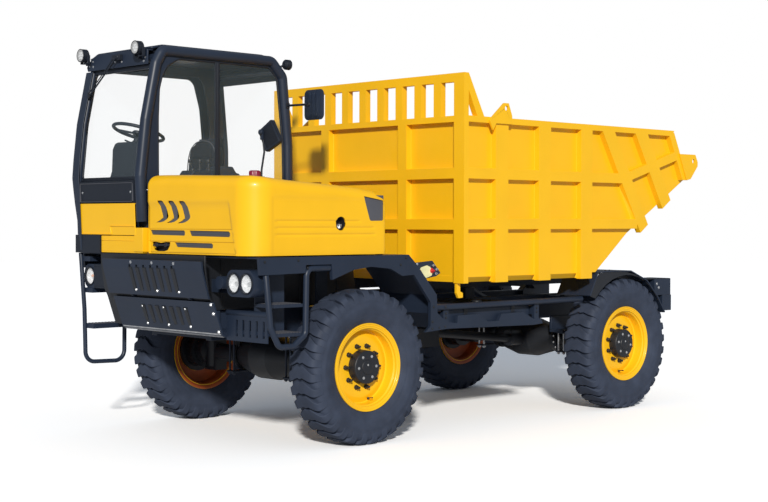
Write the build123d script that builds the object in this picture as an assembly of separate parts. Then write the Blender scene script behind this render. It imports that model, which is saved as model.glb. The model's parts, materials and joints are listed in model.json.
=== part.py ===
from build123d import *
from math import cos, radians, sin
import os

# Rear-tipping site dumper with a side cab. +X is forward, +Y is to the driver's left and +Z is up.
# Lengths are millimetres and heights are from the ground. Places along X are given from the rear axle
# for the skip and the rear half of the chassis, and from the front axle for the wheels, cab, bonnet,
# fenders, steps and nose, which save_front moves by the wheelbase. Each piece is written about the
# part's own origin, on the ground under the middle of the overall length.

# Overall
WHEELBASE = 3287
NOSE_REACH = 1243
TAIL_X = -1040
MIDDLE_X = (WHEELBASE + NOSE_REACH + TAIL_X) / 2

# Running gear
HALF_TRACK = 1047
AXLE_Z = 607
TYRE_RADIUS = AXLE_Z
TYRE_HALF_WIDTH = 157
TREAD_HALF_WIDTH = 125
SIDEWALL_RADIUS = 460
SHOULDER_DEPTH = 77
GROOVE_DEPTH = 29
LUG_COUNT = 32
LUG_SHARE = 0.62
RIM_FLANGE_RADIUS = 346
RIM_HALF_WIDTH = 125
RIM_FLANGE_THICKNESS = 12
BEAD_SEAT_RADIUS = 305
RIM_WALL = 12
DISC_FACE = 34
DISC_THICKNESS = 12
HUB_FLANGE_RADIUS = 190
HUB_FLANGE_THICKNESS = 22
DRUM_RADIUS = 133
HUB_INNER_RADIUS = 150
HUB_INNER_FACE = -95
SPINDLE_RADIUS = 55
SPINDLE_DEPTH = 60
RUNNING_GAP = 0.3
KINGPIN_OFFSET = 227
KINGPIN_Y = HALF_TRACK - KINGPIN_OFFSET
KINGPIN_RADIUS = 22
SWIVEL_RADIUS = 72
SWIVEL_HALF_HEIGHT = 131
YOKE_EAR = 28
YOKE_HALF_LENGTH = 60
AXLE_TUBE_RADIUS = 70
DIFF_RADIUS = 185
FLANGE_RADIUS = 130
FLANGE_Y = (350, 392)
DRIVE_NOSE = 330
HUB_FACE_Y = HALF_TRACK + HUB_INNER_FACE

# Chassis
RAIL_INNER_Y = 330
RAIL_OUTER_Y = 400
RAIL_BOTTOM_Z = 820
RAIL_TOP_Z = 1050
RAIL_WALL = 12
RAIL_REAR_X = -560
RAIL_FRONT = 943
CROSS_DEPTH = 80

# Skip and its hinge
SKIP_FRONT_X = 2274
SKIP_HALF_WIDTH = 1230
RIB_DEPTH = 55
RIB_FOOT = 52
SKIP_WALL = 10
SKIP_FLOOR_Z = 1285
SKIP_TOP_Z = 2620
RIM_HEIGHT = 52
GUARD_HEIGHT = 352
GUARD_RAIL = 73
HINGE_X = -430
HINGE_Z = 1110
HINGE_PIN_RADIUS = 25
LUG_EYE_RADIUS = 22
LUG_THICKNESS = 20
SUBFRAME_INNER_Y = 255
SUBFRAME_OUTER_Y = 322
SUBFRAME_BOTTOM_Z = 1140

# Tipping cylinder
RAM_FOOT_X = 300
RAM_FOOT_Z = 800
RAM_EYE_X = 1175
RAM_EYE_Z = 1220
RAM_BARREL_RADIUS = 65
RAM_ROD_RADIUS = 42
RAM_PIN_RADIUS = 25
RAM_EYE_RADIUS = 48
RAM_EYE_HALF_WIDTH = 50
RAM_PLATE_Y = (60, 85)

# Front end, from the front axle
BONNET_FRONT = 1163
BONNET_REAR = -197
BONNET_BOTTOM_Z = 1488
BONNET_FRONT_TOP_Z = 2111
BONNET_REAR_TOP_Z = 1998
BONNET_OUTER_Y = 1170
BONNET_INNER_Y = -170
BONNET_WALL = 8
BONNET_CORNER = 200
BONNET_EDGE = 88
BONNET_HINGE = BONNET_REAR - 30
BONNET_HINGE_Z = 1512
BONNET_HINGE_PIN = 8
BONNET_HINGE_ARM = 12
FENDER_OUTER_Y = 1190
FENDER_INNER_Y = 560
FENDER_SKIRT = 30
DECK_Z = 1480
FENDER_TAIL = -746
LAMP_Z = 1285
LAMP_RADIUS = 67
LAMP_Y = (900, 1050)
SILL_FRONT_X = WHEELBASE - 937
TANK_LENGTH = 1050
GUARD_TUBE_REAR_X = 600

# Cab, from the front axle
CAB_LEFT_Y = -225
CAB_RIGHT_Y = -1160
CAB_TUBE_RADIUS = 45
CAB_POST_RADIUS = 30
CAB_FLOOR_Z = 1530
CAB_FLOOR_THICKNESS = 50
CAB_WAIST_Z = 1990
CAB_REAR = -342
CAB_FRONT = 1108
GLASS = 6
DOOR_HINGE = -302
DOOR_HINGE_Y = -1187
DOOR_PIN_RADIUS = 8


def box(x, y, z):
    """Block between two limits on each axis."""
    size = [high - low for low, high in (x, y, z)]
    middle = [(low + high) / 2 for low, high in (x, y, z)]
    return Pos(*middle) * Box(*size)


def plate_y(outline, y):
    """Outline of (x, z) points, between two places along Y."""
    face = make_face(Polyline(*[(x, y[0], z) for x, z in outline], close=True))
    return extrude(face, amount=y[1] - y[0], dir=(0, 1, 0))


def plate_x(outline, x):
    """Outline of (y, z) points, between two places along X."""
    face = make_face(Polyline(*[(x[0], y, z) for y, z in outline], close=True))
    return extrude(face, amount=x[1] - x[0], dir=(1, 0, 0))


def rod(start, end, radius):
    """Round bar between two points."""
    axis = Vector(*end) - Vector(*start)
    return extrude(Plane(origin=start, z_dir=axis) * Circle(radius), amount=axis.length)


def tube(points, radius, bend):
    """Round tube along straight runs joined by bends of one radius."""
    path = FilletPolyline(*points, radius=bend)
    return sweep(Plane(origin=path @ 0, z_dir=path % 0) * Circle(radius), path=path)


def turned(outline):
    """Outline of (radius, offset) points turned about the Y axis."""
    return revolve(make_face(Polyline(*outline, close=True)), Axis.Y)


def other_side(piece):
    """The same piece on the other side of the vehicle."""
    return mirror(piece, Plane.XZ)


def save(name, *pieces):
    """Write the solids of one node about the part's own origin."""
    solids = [solid.moved(Pos(-MIDDLE_X, 0, 0)) for piece in pieces for solid in piece.solids()]
    export_step(Compound(solids), f"parts/{name}.step")


def save_front(name, *pieces):
    """Write a node whose places along X are given from the front axle."""
    save(name, *[piece.moved(Pos(WHEELBASE, 0, 0)) for piece in pieces])


# ---- wheels: built about their own centre with the outboard side at +Y ----

def tyre():
    """Flat-faced tyre with straight lugs, one of them flat on the ground."""
    pitch = 360 / LUG_COUNT
    lug = pitch * LUG_SHARE / 2
    flat = cos(radians(pitch / 2))
    lip = RIM_HALF_WIDTH - RIM_FLANGE_THICKNESS - RUNNING_GAP
    # (radius, offset) of the sidewall's corners from the bead outwards, then of the tread
    wall = [
        ((BEAD_SEAT_RADIUS + RUNNING_GAP) / flat, lip),
        ((RIM_FLANGE_RADIUS + 7) / flat, lip),
        (RIM_FLANGE_RADIUS + 32, TYRE_HALF_WIDTH - 16),
        (SIDEWALL_RADIUS, TYRE_HALF_WIDTH),
    ]
    shoulder = (TYRE_RADIUS - SHOULDER_DEPTH, TYRE_HALF_WIDTH - 2)
    bed = (TYRE_RADIUS - GROOVE_DEPTH, TREAD_HALF_WIDTH - 12)
    crown = (TYRE_RADIUS / cos(radians(lug)), TREAD_HALF_WIDTH)

    def corner(profile, angle, side):
        radius, offset = profile
        return (radius * sin(radians(angle)), side * offset, -radius * cos(radians(angle)))

    def band(inner, outer, start, end, side):
        return [corner(inner, start, side), corner(inner, end, side), corner(outer, end, side),
                corner(outer, start, side)]

    faces = []
    for k in range(LUG_COUNT):
        low, high = (k - 0.5) * pitch, (k + 0.5) * pitch
        start, end, after = k * pitch - lug, k * pitch + lug, (k + 1) * pitch - lug
        for profile, first, last in ((wall[0], low, high), (crown, start, end), (bed, end, after)):
            faces.append([corner(profile, first, 1), corner(profile, last, 1), corner(profile, last, -1),
                          corner(profile, first, -1)])
        for angle in (start, end):
            faces.append([corner(profile, angle, side) for profile, side in (
                (shoulder, 1), (crown, 1), (crown, -1), (shoulder, -1), (bed, -1), (bed, 1))])
        for side in (1, -1):
            for inner, outer in zip(wall, wall[1:]):
                faces.append(band(inner, outer, low, high, side))
            faces.append([corner(wall[-1], low, side), corner(wall[-1], high, side),
                          corner(shoulder, end, side), corner(shoulder, start, side)])
            faces.append([corner(wall[-1], high, side), corner(shoulder, after, side), corner(shoulder, end, side)])
            faces.append(band(shoulder, crown, start, end, side))
            faces.append(band(shoulder, bed, end, after, side))
    return Solid(Shell([Face(Wire.make_polygon(points)) for points in faces]))


def rim():
    half, lip = RIM_HALF_WIDTH, RIM_HALF_WIDTH - RIM_FLANGE_THICKNESS
    inside = BEAD_SEAT_RADIUS - RIM_WALL
    barrel = turned([
        (RIM_FLANGE_RADIUS, half), (RIM_FLANGE_RADIUS, lip), (BEAD_SEAT_RADIUS, lip),
        (BEAD_SEAT_RADIUS, -lip), (RIM_FLANGE_RADIUS, -lip), (RIM_FLANGE_RADIUS, -half),
        (RIM_FLANGE_RADIUS - 14, -half), (inside, 25 - half), (inside, half - 30),
        (RIM_FLANGE_RADIUS - 14, half),
    ])
    bore = DRUM_RADIUS + RUNNING_GAP
    disc = turned([
        (bore, DISC_FACE), (inside - 58, DISC_FACE), (inside, DISC_FACE - 26),
        (inside, DISC_FACE - 26 - DISC_THICKNESS), (inside - 58, DISC_FACE - DISC_THICKNESS),
        (bore, DISC_FACE - DISC_THICKNESS),
    ])
    return barrel + disc


def hub():
    seat = DISC_FACE - DISC_THICKNESS
    return turned([
        (SPINDLE_RADIUS + RUNNING_GAP, HUB_INNER_FACE), (HUB_INNER_RADIUS, HUB_INNER_FACE),
        (HUB_INNER_RADIUS, seat - HUB_FLANGE_THICKNESS), (HUB_FLANGE_RADIUS, seat - HUB_FLANGE_THICKNESS),
        (HUB_FLANGE_RADIUS, seat), (DRUM_RADIUS, seat), (DRUM_RADIUS, RIM_HALF_WIDTH - 8),
        (DRUM_RADIUS - 10, RIM_HALF_WIDTH), (0, RIM_HALF_WIDTH),
        (0, HUB_INNER_FACE + SPINDLE_DEPTH + 1),
        (SPINDLE_RADIUS + RUNNING_GAP, HUB_INNER_FACE + SPINDLE_DEPTH + 1),
    ])


def save_wheels():
    corners = (
        # name, axle place along X, side of the vehicle
        ("front_left", WHEELBASE, 1),
        ("front_right", WHEELBASE, -1),
        ("rear_left", 0, 1),
        ("rear_right", 0, -1),
    )
    kinds = (("tyre", tyre()), ("rim", rim()), ("hub", hub()))
    for name, axle_x, side in corners:
        for kind, piece in kinds:
            placed = piece.moved(Pos(axle_x, HALF_TRACK, AXLE_Z))
            save(f"{kind}_{name}", placed if side > 0 else other_side(placed))


# ---- axles, each about its own line along X ----

def turned_at_axle(outline):
    """Outline of (radius, y) points turned about an axle's line."""
    return Pos(0, 0, AXLE_Z) * turned(outline)


def axle_beam(end_y, ahead):
    """Axle tube with its differential, drive nose and the pads that bolt under the rails."""
    beam = turned_at_axle([
        (0, -end_y), (AXLE_TUBE_RADIUS, -end_y), (AXLE_TUBE_RADIUS, -FLANGE_Y[1]), (FLANGE_RADIUS, -FLANGE_Y[1]),
        (FLANGE_RADIUS, -FLANGE_Y[0]), (FLANGE_RADIUS - 14, -FLANGE_Y[0]), (DIFF_RADIUS, -110), (DIFF_RADIUS, 110),
        (FLANGE_RADIUS - 14, FLANGE_Y[0]), (FLANGE_RADIUS, FLANGE_Y[0]), (FLANGE_RADIUS, FLANGE_Y[1]),
        (AXLE_TUBE_RADIUS, FLANGE_Y[1]), (AXLE_TUBE_RADIUS, end_y), (0, end_y),
    ])
    beam += rod((0, 0, AXLE_Z), (ahead * DRIVE_NOSE, 0, AXLE_Z), AXLE_TUBE_RADIUS + 5)
    pad = box((-100, 100), (RAIL_INNER_Y, RAIL_OUTER_Y), (AXLE_Z, RAIL_BOTTOM_Z))
    return beam + pad + other_side(pad)


def front_axle():
    top = SWIVEL_HALF_HEIGHT + 1
    root, tip = KINGPIN_Y - SWIVEL_RADIUS - 30, KINGPIN_Y + 50
    yoke = plate_x([
        (root, AXLE_Z + top + YOKE_EAR), (tip, AXLE_Z + top + YOKE_EAR), (tip, AXLE_Z + top),
        (root + 24, AXLE_Z + top), (root + 24, AXLE_Z - top), (tip, AXLE_Z - top),
        (tip, AXLE_Z - top - YOKE_EAR), (root, AXLE_Z - top - YOKE_EAR),
    ], (-YOKE_HALF_LENGTH, YOKE_HALF_LENGTH))
    yoke -= Pos(0, KINGPIN_Y, AXLE_Z) * Cylinder(KINGPIN_RADIUS + RUNNING_GAP, 2 * (top + YOKE_EAR) + 10)
    return axle_beam(root + 10, -1) + yoke + other_side(yoke)


def knuckle():
    """Swivel with its pins, the steered axle end and the steering arm behind it."""
    swivel = Pos(0, KINGPIN_Y, AXLE_Z) * Cylinder(SWIVEL_RADIUS, 2 * SWIVEL_HALF_HEIGHT)
    pins = Pos(0, KINGPIN_Y, AXLE_Z) * Cylinder(KINGPIN_RADIUS, 2 * (SWIVEL_HALF_HEIGHT + YOKE_EAR))
    end = turned_at_axle([
        (0, KINGPIN_Y), (112, KINGPIN_Y + 40), (112, HUB_FACE_Y - 8), (SPINDLE_RADIUS, HUB_FACE_Y - 8),
        (SPINDLE_RADIUS, HUB_FACE_Y + SPINDLE_DEPTH), (0, HUB_FACE_Y + SPINDLE_DEPTH),
    ])
    arm = box((-180, 0), (KINGPIN_Y - 15, KINGPIN_Y + 25), (AXLE_Z - 105, AXLE_Z - 75))
    return swivel + pins + end + arm


def rear_axle():
    end = turned_at_axle([
        (0, HUB_FACE_Y - 252), (105, HUB_FACE_Y - 252), (105, HUB_FACE_Y - 40), (HUB_INNER_RADIUS, HUB_FACE_Y - 40),
        (HUB_INNER_RADIUS, HUB_FACE_Y - 8), (SPINDLE_RADIUS, HUB_FACE_Y - 8),
        (SPINDLE_RADIUS, HUB_FACE_Y + SPINDLE_DEPTH), (0, HUB_FACE_Y + SPINDLE_DEPTH),
    ])
    return axle_beam(HUB_FACE_Y - 242, 1) + end + other_side(end)


def driveline():
    """Transfer box under the rails with a shaft to each axle's nose."""
    rear_end, front_end, shaft_z = 1450, 1950, 720
    case = box((rear_end, front_end), (-150, 150), (600, 880))
    hangers = box((1620, 1780), (-RAIL_OUTER_Y, RAIL_OUTER_Y), (RAIL_BOTTOM_Z - 40, RAIL_BOTTOM_Z))
    rear = rod((DRIVE_NOSE, 0, AXLE_Z), (rear_end, 0, shaft_z), 40)
    front = rod((front_end, 0, shaft_z), (WHEELBASE - DRIVE_NOSE, 0, AXLE_Z), 40)
    across = ((-200, 200), (AXLE_Z - 300, AXLE_Z + 300))
    ends = box((DRIVE_NOSE - 130, DRIVE_NOSE), *across) + box(
        (WHEELBASE - DRIVE_NOSE, WHEELBASE - DRIVE_NOSE + 130), *across)
    return case + hangers + ((rear + front) - ends)


# ---- chassis ----

def rail():
    """Channel rail, open towards the middle, with the hinge ear at its rear end."""
    front_x = WHEELBASE + RAIL_FRONT
    web = box((RAIL_REAR_X, front_x), (RAIL_INNER_Y, RAIL_OUTER_Y), (RAIL_BOTTOM_Z, RAIL_TOP_Z))
    hollow = box(
        (RAIL_REAR_X - 1, front_x + 1), (RAIL_INNER_Y - 1, RAIL_OUTER_Y - RAIL_WALL),
        (RAIL_BOTTOM_Z + RAIL_WALL, RAIL_TOP_Z - RAIL_WALL))
    ear = plate_y([
        (HINGE_X - 130, RAIL_TOP_Z - 60), (HINGE_X + 160, RAIL_TOP_Z - 60),
        (HINGE_X + 160, RAIL_TOP_Z), (HINGE_X + 45, HINGE_Z + 45), (HINGE_X - 45, HINGE_Z + 45),
        (HINGE_X - 130, RAIL_TOP_Z),
    ], (RAIL_INNER_Y, RAIL_OUTER_Y))
    pin_hole = rod(
        (HINGE_X, 0, HINGE_Z), (HINGE_X, RAIL_OUTER_Y + 1, HINGE_Z), HINGE_PIN_RADIUS + RUNNING_GAP)
    return web - hollow + ear - pin_hole


def frame():
    pieces = rail() + other_side(rail())
    for x in (RAIL_REAR_X + 60, RAM_FOOT_X - 70 - CROSS_DEPTH, WHEELBASE - 787,
              WHEELBASE + RAIL_FRONT - CROSS_DEPTH):
        pieces += box(
            (x, x + CROSS_DEPTH), (-RAIL_OUTER_Y + RAIL_WALL, RAIL_OUTER_Y - RAIL_WALL),
            (RAIL_BOTTOM_Z + RAIL_WALL, RAIL_TOP_Z - RAIL_WALL - 60))
    foot = plate_y([
        (RAM_FOOT_X - 110, RAM_FOOT_Z + 35), (RAM_FOOT_X - 45, RAM_FOOT_Z - 45),
        (RAM_FOOT_X + 45, RAM_FOOT_Z - 45), (RAM_FOOT_X + 45, RAM_FOOT_Z + 40),
        (RAM_FOOT_X - 70, RAM_FOOT_Z + 110), (RAM_FOOT_X - 110, RAM_FOOT_Z + 110),
    ], RAM_PLATE_Y)
    foot += other_side(foot)
    foot -= rod((RAM_FOOT_X, -200, RAM_FOOT_Z), (RAM_FOOT_X, 200, RAM_FOOT_Z), RAM_PIN_RADIUS + RUNNING_GAP)
    for x in (1250, 2050):
        pad = box((x, x + 120), (RAIL_INNER_Y - 60, RAIL_OUTER_Y), (RAIL_TOP_Z, SUBFRAME_BOTTOM_Z))
        pieces += pad + other_side(pad)
    return pieces + foot


# ---- skip ----

def skip_outline(inset):
    """Side outline of the skip, with its walls moved in by inset and open above and behind."""
    panel_front = SKIP_FRONT_X - RIB_DEPTH - inset
    floor = SKIP_FLOOR_Z + inset
    above = SKIP_TOP_Z if inset == 0 else SKIP_TOP_Z + 100
    return [
        (panel_front, floor), (panel_front, above),
        (-673 - inset * 12, above), (-900 - inset * 12, 2150 + inset * 8.2),
        (0, 1640 + inset * 1.2), (466 + inset * 0.3, floor),
    ]


def skip_shell():
    panel_y = SKIP_HALF_WIDTH - RIB_DEPTH
    outside = plate_y(skip_outline(0), (-panel_y, panel_y))
    return outside - plate_y(skip_outline(SKIP_WALL), (SKIP_WALL - panel_y, panel_y - SKIP_WALL))


def skip_side_ribs():
    """Stiffeners of the left side."""
    across = (SKIP_HALF_WIDTH - RIB_DEPTH, SKIP_HALF_WIDTH)
    rim_bottom = SKIP_TOP_Z - RIM_HEIGHT
    front = SKIP_FRONT_X - RIB_DEPTH
    ribs = plate_y([(front, rim_bottom), (front, SKIP_TOP_Z), (-673, SKIP_TOP_Z), (-650, rim_bottom)], across)
    for middle in (1805, 1245, 665):
        ribs += box((middle - 80, middle + 80), across, (SKIP_FLOOR_Z - RIB_FOOT, rim_bottom))
    bands = (
        # two slanted ribs near the tail, the two long ribs and the tail's edge
        [(435, rim_bottom), (-144, 1642), (-259, 1718), (255, rim_bottom)],
        [(-60, rim_bottom), (-490, 1870), (-618, 1953), (-250, rim_bottom)],
        [(front, 2100), (120, 2100), (-760, 2350), (-760, 2436), (100, 2190), (front, 2190)],
        [(front, 1680), (-90, 1680), (-90, 1770), (front, 1770)],
        [(-673, SKIP_TOP_Z - 20), (-900, 2150), (-815, 2150), (-585, SKIP_TOP_Z - 20)],
    )
    for outline in bands:
        ribs += plate_y(outline, across)
    return ribs


def lifting_lug(outline, eye):
    lug = plate_y(outline, (SKIP_HALF_WIDTH, SKIP_HALF_WIDTH + LUG_THICKNESS))
    return lug - rod((eye[0], 0, eye[1]), (eye[0], SKIP_HALF_WIDTH + LUG_THICKNESS + 1, eye[1]), LUG_EYE_RADIUS)


def skip_front():
    """Posts, ribs and rim of the front wall, with the barred guard above it."""
    depth = (SKIP_FRONT_X - RIB_DEPTH, SKIP_FRONT_X)
    rim_bottom, guard_top = SKIP_TOP_Z - RIM_HEIGHT, SKIP_TOP_Z + GUARD_HEIGHT
    post_inner = SKIP_HALF_WIDTH - 118
    post = box(depth, (post_inner, SKIP_HALF_WIDTH), (SKIP_FLOOR_Z - RIB_FOOT, guard_top))
    rib = box(depth, (447, 553), (SKIP_FLOOR_Z - 40, rim_bottom))
    brace = plate_y([
        (depth[0], guard_top), (2030, SKIP_TOP_Z), (2115, SKIP_TOP_Z), (depth[0], guard_top - 142),
    ], (SKIP_HALF_WIDTH - RIB_DEPTH, SKIP_HALF_WIDTH))
    front = post + other_side(post) + rib + other_side(rib) + brace + other_side(brace)
    for low, high in ((2100, 2190), (1675, 1765), (rim_bottom, SKIP_TOP_Z), (guard_top - GUARD_RAIL, guard_top)):
        front += box(depth, (-post_inner, post_inner), (low, high))
    for k in range(-4, 5):
        front += box(depth, (k * 230 - 43, k * 230 + 43), (SKIP_TOP_Z, guard_top - GUARD_RAIL))
    return front


def skip_subframe():
    """Beams under the floor that run back to the hinge, and the ears of the tipping cylinder."""
    beam = plate_y([
        (2120, SUBFRAME_BOTTOM_Z), (2120, SKIP_FLOOR_Z), (466, SKIP_FLOOR_Z), (0, 1640),
        (-300, 1640 + 170 - 1), (HINGE_X - 50, HINGE_Z + 40), (HINGE_X - 50, HINGE_Z - 50),
        (HINGE_X + 60, HINGE_Z - 50), (HINGE_X + 140, SUBFRAME_BOTTOM_Z),
    ], (SUBFRAME_INNER_Y, SUBFRAME_OUTER_Y))
    beam += rod((HINGE_X, SUBFRAME_OUTER_Y - 40, HINGE_Z), (HINGE_X, RAIL_OUTER_Y, HINGE_Z), HINGE_PIN_RADIUS)
    ear = plate_y([
        (RAM_EYE_X - 60, SKIP_FLOOR_Z), (RAM_EYE_X - 45, RAM_EYE_Z - 45),
        (RAM_EYE_X + 45, RAM_EYE_Z - 45), (RAM_EYE_X + 60, SKIP_FLOOR_Z),
    ], RAM_PLATE_Y)
    ear -= rod(
        (RAM_EYE_X, RAM_PLATE_Y[0] - 10, RAM_EYE_Z), (RAM_EYE_X, RAM_PLATE_Y[1] + 10, RAM_EYE_Z),
        RAM_PIN_RADIUS + RUNNING_GAP)
    return beam + other_side(beam) + ear + other_side(ear)


def skip_hook():
    """Hook that hangs from the foot of the front post."""
    foot, front = SKIP_FLOOR_Z - RIB_FOOT, SKIP_FRONT_X
    return plate_y([
        (front - 9, foot + 7), (front - 52, foot + 7), (front - 52, foot - 68), (front - 84, foot - 83),
        (front - 84, foot - 121), (front - 34, foot - 125), (front - 9, foot - 83),
    ], (SKIP_HALF_WIDTH - 112, SKIP_HALF_WIDTH - 88))


def skip():
    top = SKIP_TOP_Z
    ribs = skip_side_ribs() + skip_hook()
    ribs += lifting_lug([(1985, top - 30), (1937, top - 110), (1900, top - 52), (1701, top - 52), (1701, top + 20),
                         (1745, top + 124), (1800, top + 124)], (1772, top + 80))
    ribs += lifting_lug([(-740, 2400), (-1000, 2400), (TAIL_X, 2330), (TAIL_X, 2290), (-920, 2160),
                         (-860, 2150)], (-970, 2335))
    return skip_shell() + ribs + other_side(ribs) + skip_front()


# ---- tipping cylinder ----

def ram_axis(distance):
    """Point on the cylinder's axis at a distance from its foot."""
    foot, eye = Vector(RAM_FOOT_X, 0, RAM_FOOT_Z), Vector(RAM_EYE_X, 0, RAM_EYE_Z)
    return foot + (eye - foot).normalized() * distance


def ram_length():
    return (Vector(RAM_EYE_X, 0, RAM_EYE_Z) - Vector(RAM_FOOT_X, 0, RAM_FOOT_Z)).length


def ram_eye(x, z, half_width, radius):
    """Round bar across the vehicle, about its middle plane."""
    return rod((x, -half_width, z), (x, half_width, z), radius)


def ram_barrel():
    barrel = rod(ram_axis(40), ram_axis(ram_length() - 110), RAM_BARREL_RADIUS - 10)
    barrel += rod(ram_axis(ram_length() - 200), ram_axis(ram_length() - 110), RAM_BARREL_RADIUS - 4)
    barrel += ram_eye(RAM_FOOT_X, RAM_FOOT_Z, RAM_EYE_HALF_WIDTH, RAM_EYE_RADIUS)
    barrel += ram_eye(RAM_FOOT_X, RAM_FOOT_Z, RAM_PLATE_Y[1], RAM_PIN_RADIUS)
    return barrel - rod(ram_axis(95), ram_axis(ram_length()), RAM_ROD_RADIUS + RUNNING_GAP)


def ram_rod():
    shaft = rod(ram_axis(100), ram_axis(ram_length() - 20), RAM_ROD_RADIUS)
    return shaft + ram_eye(RAM_EYE_X, RAM_EYE_Z, RAM_EYE_HALF_WIDTH, RAM_EYE_RADIUS)


# ---- front fenders, guards and steps, from the front axle ----

FENDER_LINE = [
    # outer skirt's outline, from the front corner under the arch and back over the deck
    (1103, DECK_Z), (1093, 1350), (663, 1358), (658, 1418), (403, 1418), (393, 1300), (173, 1372),
    (-7, 1392), (-217, 1372), (-347, 1312), (-477, 1318), (-667, 1090), (-667, 900), (-607, 850),
    (-917, 870), (-747, 1000), (-737, 1150), (-507, 1400), (-417, DECK_Z),
]


def front_fender():
    """Outer skirt, deck and rear splash wall of a front wheel's arch."""
    skirt_inner = FENDER_OUTER_Y - FENDER_SKIRT
    skirt = plate_y(FENDER_LINE, (skirt_inner, FENDER_OUTER_Y))
    deck = plate_y([
        (1103, DECK_Z), (1103, DECK_Z - 12), (-412, DECK_Z - 12), (-498, 1392), (-725, 1145),
        (-735, 994), (-907, 860), (-917, 870), (-747, 1000), (-737, 1150), (-507, 1400), (-417, DECK_Z),
    ], (FENDER_INNER_Y, skirt_inner))
    stay = box((-107, 13), (RAIL_OUTER_Y, FENDER_INNER_Y), (RAIL_TOP_Z - 120, RAIL_TOP_Z))
    stay += box((-107, 13), (FENDER_INNER_Y - 12, FENDER_INNER_Y), (RAIL_TOP_Z - 120, DECK_Z))
    return skirt + deck + stay


def switch_bracket():
    """Plate on the left fender's rear slope that carries a switch."""
    return plate_y([
        (-508, 1396), (-608, 1412), (-773, 1423), (-868, 1321), (-817, 1296), (-711, 1281), (-619, 1275),
    ], (1088, 1104))


def step_guard():
    y = FENDER_OUTER_Y - 20
    guard = tube([
        (1028, y, 1348), (983, y, 960), (903, y, 815), (763, y, 815), (648, y, 900),
        (638, y, 1390), (413, y, 1390),
    ], 23, 60)
    treads = box((673, 953), (950, y), (1105, 1130)) + box((688, 948), (950, y), (890, 915))
    wall = box((673, 953), (940, 952), (890, 1350))
    return guard + treads + wall


def ladder():
    y = -1120
    legs = tube([
        (1159, y, DECK_Z - 3), (1125, y, 1000), (1115, y, 560), (733, y, 550), (723, y, DECK_Z - 13),
    ], 18, 90)
    for x, z in ((1147, 1428), (1123, 1165), (1113, 865)):
        legs += box((723, x), (y - 15, y + 120), (z - 20, z + 20))
    return legs


def bumper_side():
    """Slotted plate and tube between the nose and the step guard."""
    inner, outer = 660, FENDER_OUTER_Y - 44
    x = RAIL_FRONT + 40
    plate = box((x, x + 12), (inner, outer), (845, 1040))
    for k in range(5):
        y = inner + 110 + 80 * k
        plate -= box((x - 10, x + 20), (y, y + 26), (880, 1005))
    arm = box((RAIL_FRONT, x), (RAIL_OUTER_Y, outer), (900, 925))
    return plate + arm + rod((x, inner, 1055), (x, outer, 1055), 22)


def nose():
    """Two raked plates over the front of the frame, with their brackets."""
    half = 670
    upper = plate_y([
        (NOSE_REACH, 1442), (NOSE_REACH - 10, 1370), (1173, 1160), (1158, 1160), (NOSE_REACH - 25, 1370),
        (NOSE_REACH - 15, 1442),
    ], (-half, half))
    lower = plate_y([
        (1133, 1134), (1043, 880), (1013, 866), (1009, 878), (1029, 886), (1118, 1134),
    ], (-half, half))
    for k in range(-3, 4):
        slot = (k * 95 - 14, k * 95 + 14)
        upper -= box((1113, NOSE_REACH + 70), slot, (1195, 1400))
        lower -= box((913, NOSE_REACH + 70), slot, (935, 1080))
    bracket = plate_y([
        (RAIL_FRONT, 880), (1029, 886), (1118, 1134), (1158, 1160), (NOSE_REACH - 25, 1370),
        (NOSE_REACH - 15, 1442), (1113, 1442), (1063, 1150), (RAIL_FRONT, RAIL_TOP_Z),
    ], (RAIL_OUTER_Y - 30, RAIL_OUTER_Y))
    return upper, lower, bracket, other_side(bracket)


def lamp_pod():
    """Housing of one side's two headlamps, the round buffer beside it and the bracket that holds them."""
    pod = box((963, 1113), (LAMP_Y[0] - 85, LAMP_Y[1] + 85), (LAMP_Z - 100, LAMP_Z + 100))
    pod = fillet(pod.edges().filter_by(Axis.X), 70)
    for y in LAMP_Y:
        pod -= rod((1053, y, LAMP_Z), (1123, y, LAMP_Z), LAMP_RADIUS + 1)
    stay = box((883, 975), (RAIL_OUTER_Y, LAMP_Y[0] + 30), (1200, 1300))
    stay += box((883, RAIL_FRONT), (RAIL_OUTER_Y, RAIL_OUTER_Y + 30), (RAIL_TOP_Z - 100, 1300))
    buffer = rod((963, 738, LAMP_Z), (1125, 738, LAMP_Z), 48)
    return pod + stay + buffer


def lamp_lenses():
    lenses = []
    for side in (-1, 1):
        for y in LAMP_Y:
            lenses.append(rod((1053, side * y, LAMP_Z), (1105, side * y, LAMP_Z), LAMP_RADIUS))
    return lenses


# ---- side guards, tanks and rear fenders ----

def side_guard():
    """Tube and tabbed sill between the wheels, on arms from the rail."""
    front = SILL_FRONT_X
    arms = (
        # limits along X, bottom of the hanger that joins sill and tube
        ((front - 20, front + 40), 912),
        ((front - 1170, front - 1110), 880),
    )
    bar = rod((WHEELBASE + FENDER_TAIL, 1120, 1040), (GUARD_TUBE_REAR_X, 1120, 1045), 25)
    sill = plate_y([
        (front, 858), (front - 1100, 838), (front - 1225, 846), (front - 1200, 892), (front - 1100, 890),
        (front - 955, 958), (front - 680, 954), (front - 642, 894), (front - 500, 896), (front - 390, 966),
        (front - 132, 962), (front - 128, 898), (front - 20, 912), (front + 175, 1010), (front + 165, 995),
    ], (1080, 1110))
    guard = bar + sill
    for x, bottom in arms:
        guard += box(x, (RAIL_OUTER_Y, 1080), (930, 1000))
        guard += box(x, (1080, 1110), (bottom, 1022))
    return guard


def tank():
    body = box((SILL_FRONT_X - TANK_LENGTH - 40, SILL_FRONT_X - 40), (RAIL_OUTER_Y, 1060), (850, 1040))
    return fillet(body.edges().filter_by(Axis.X), 40)


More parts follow.
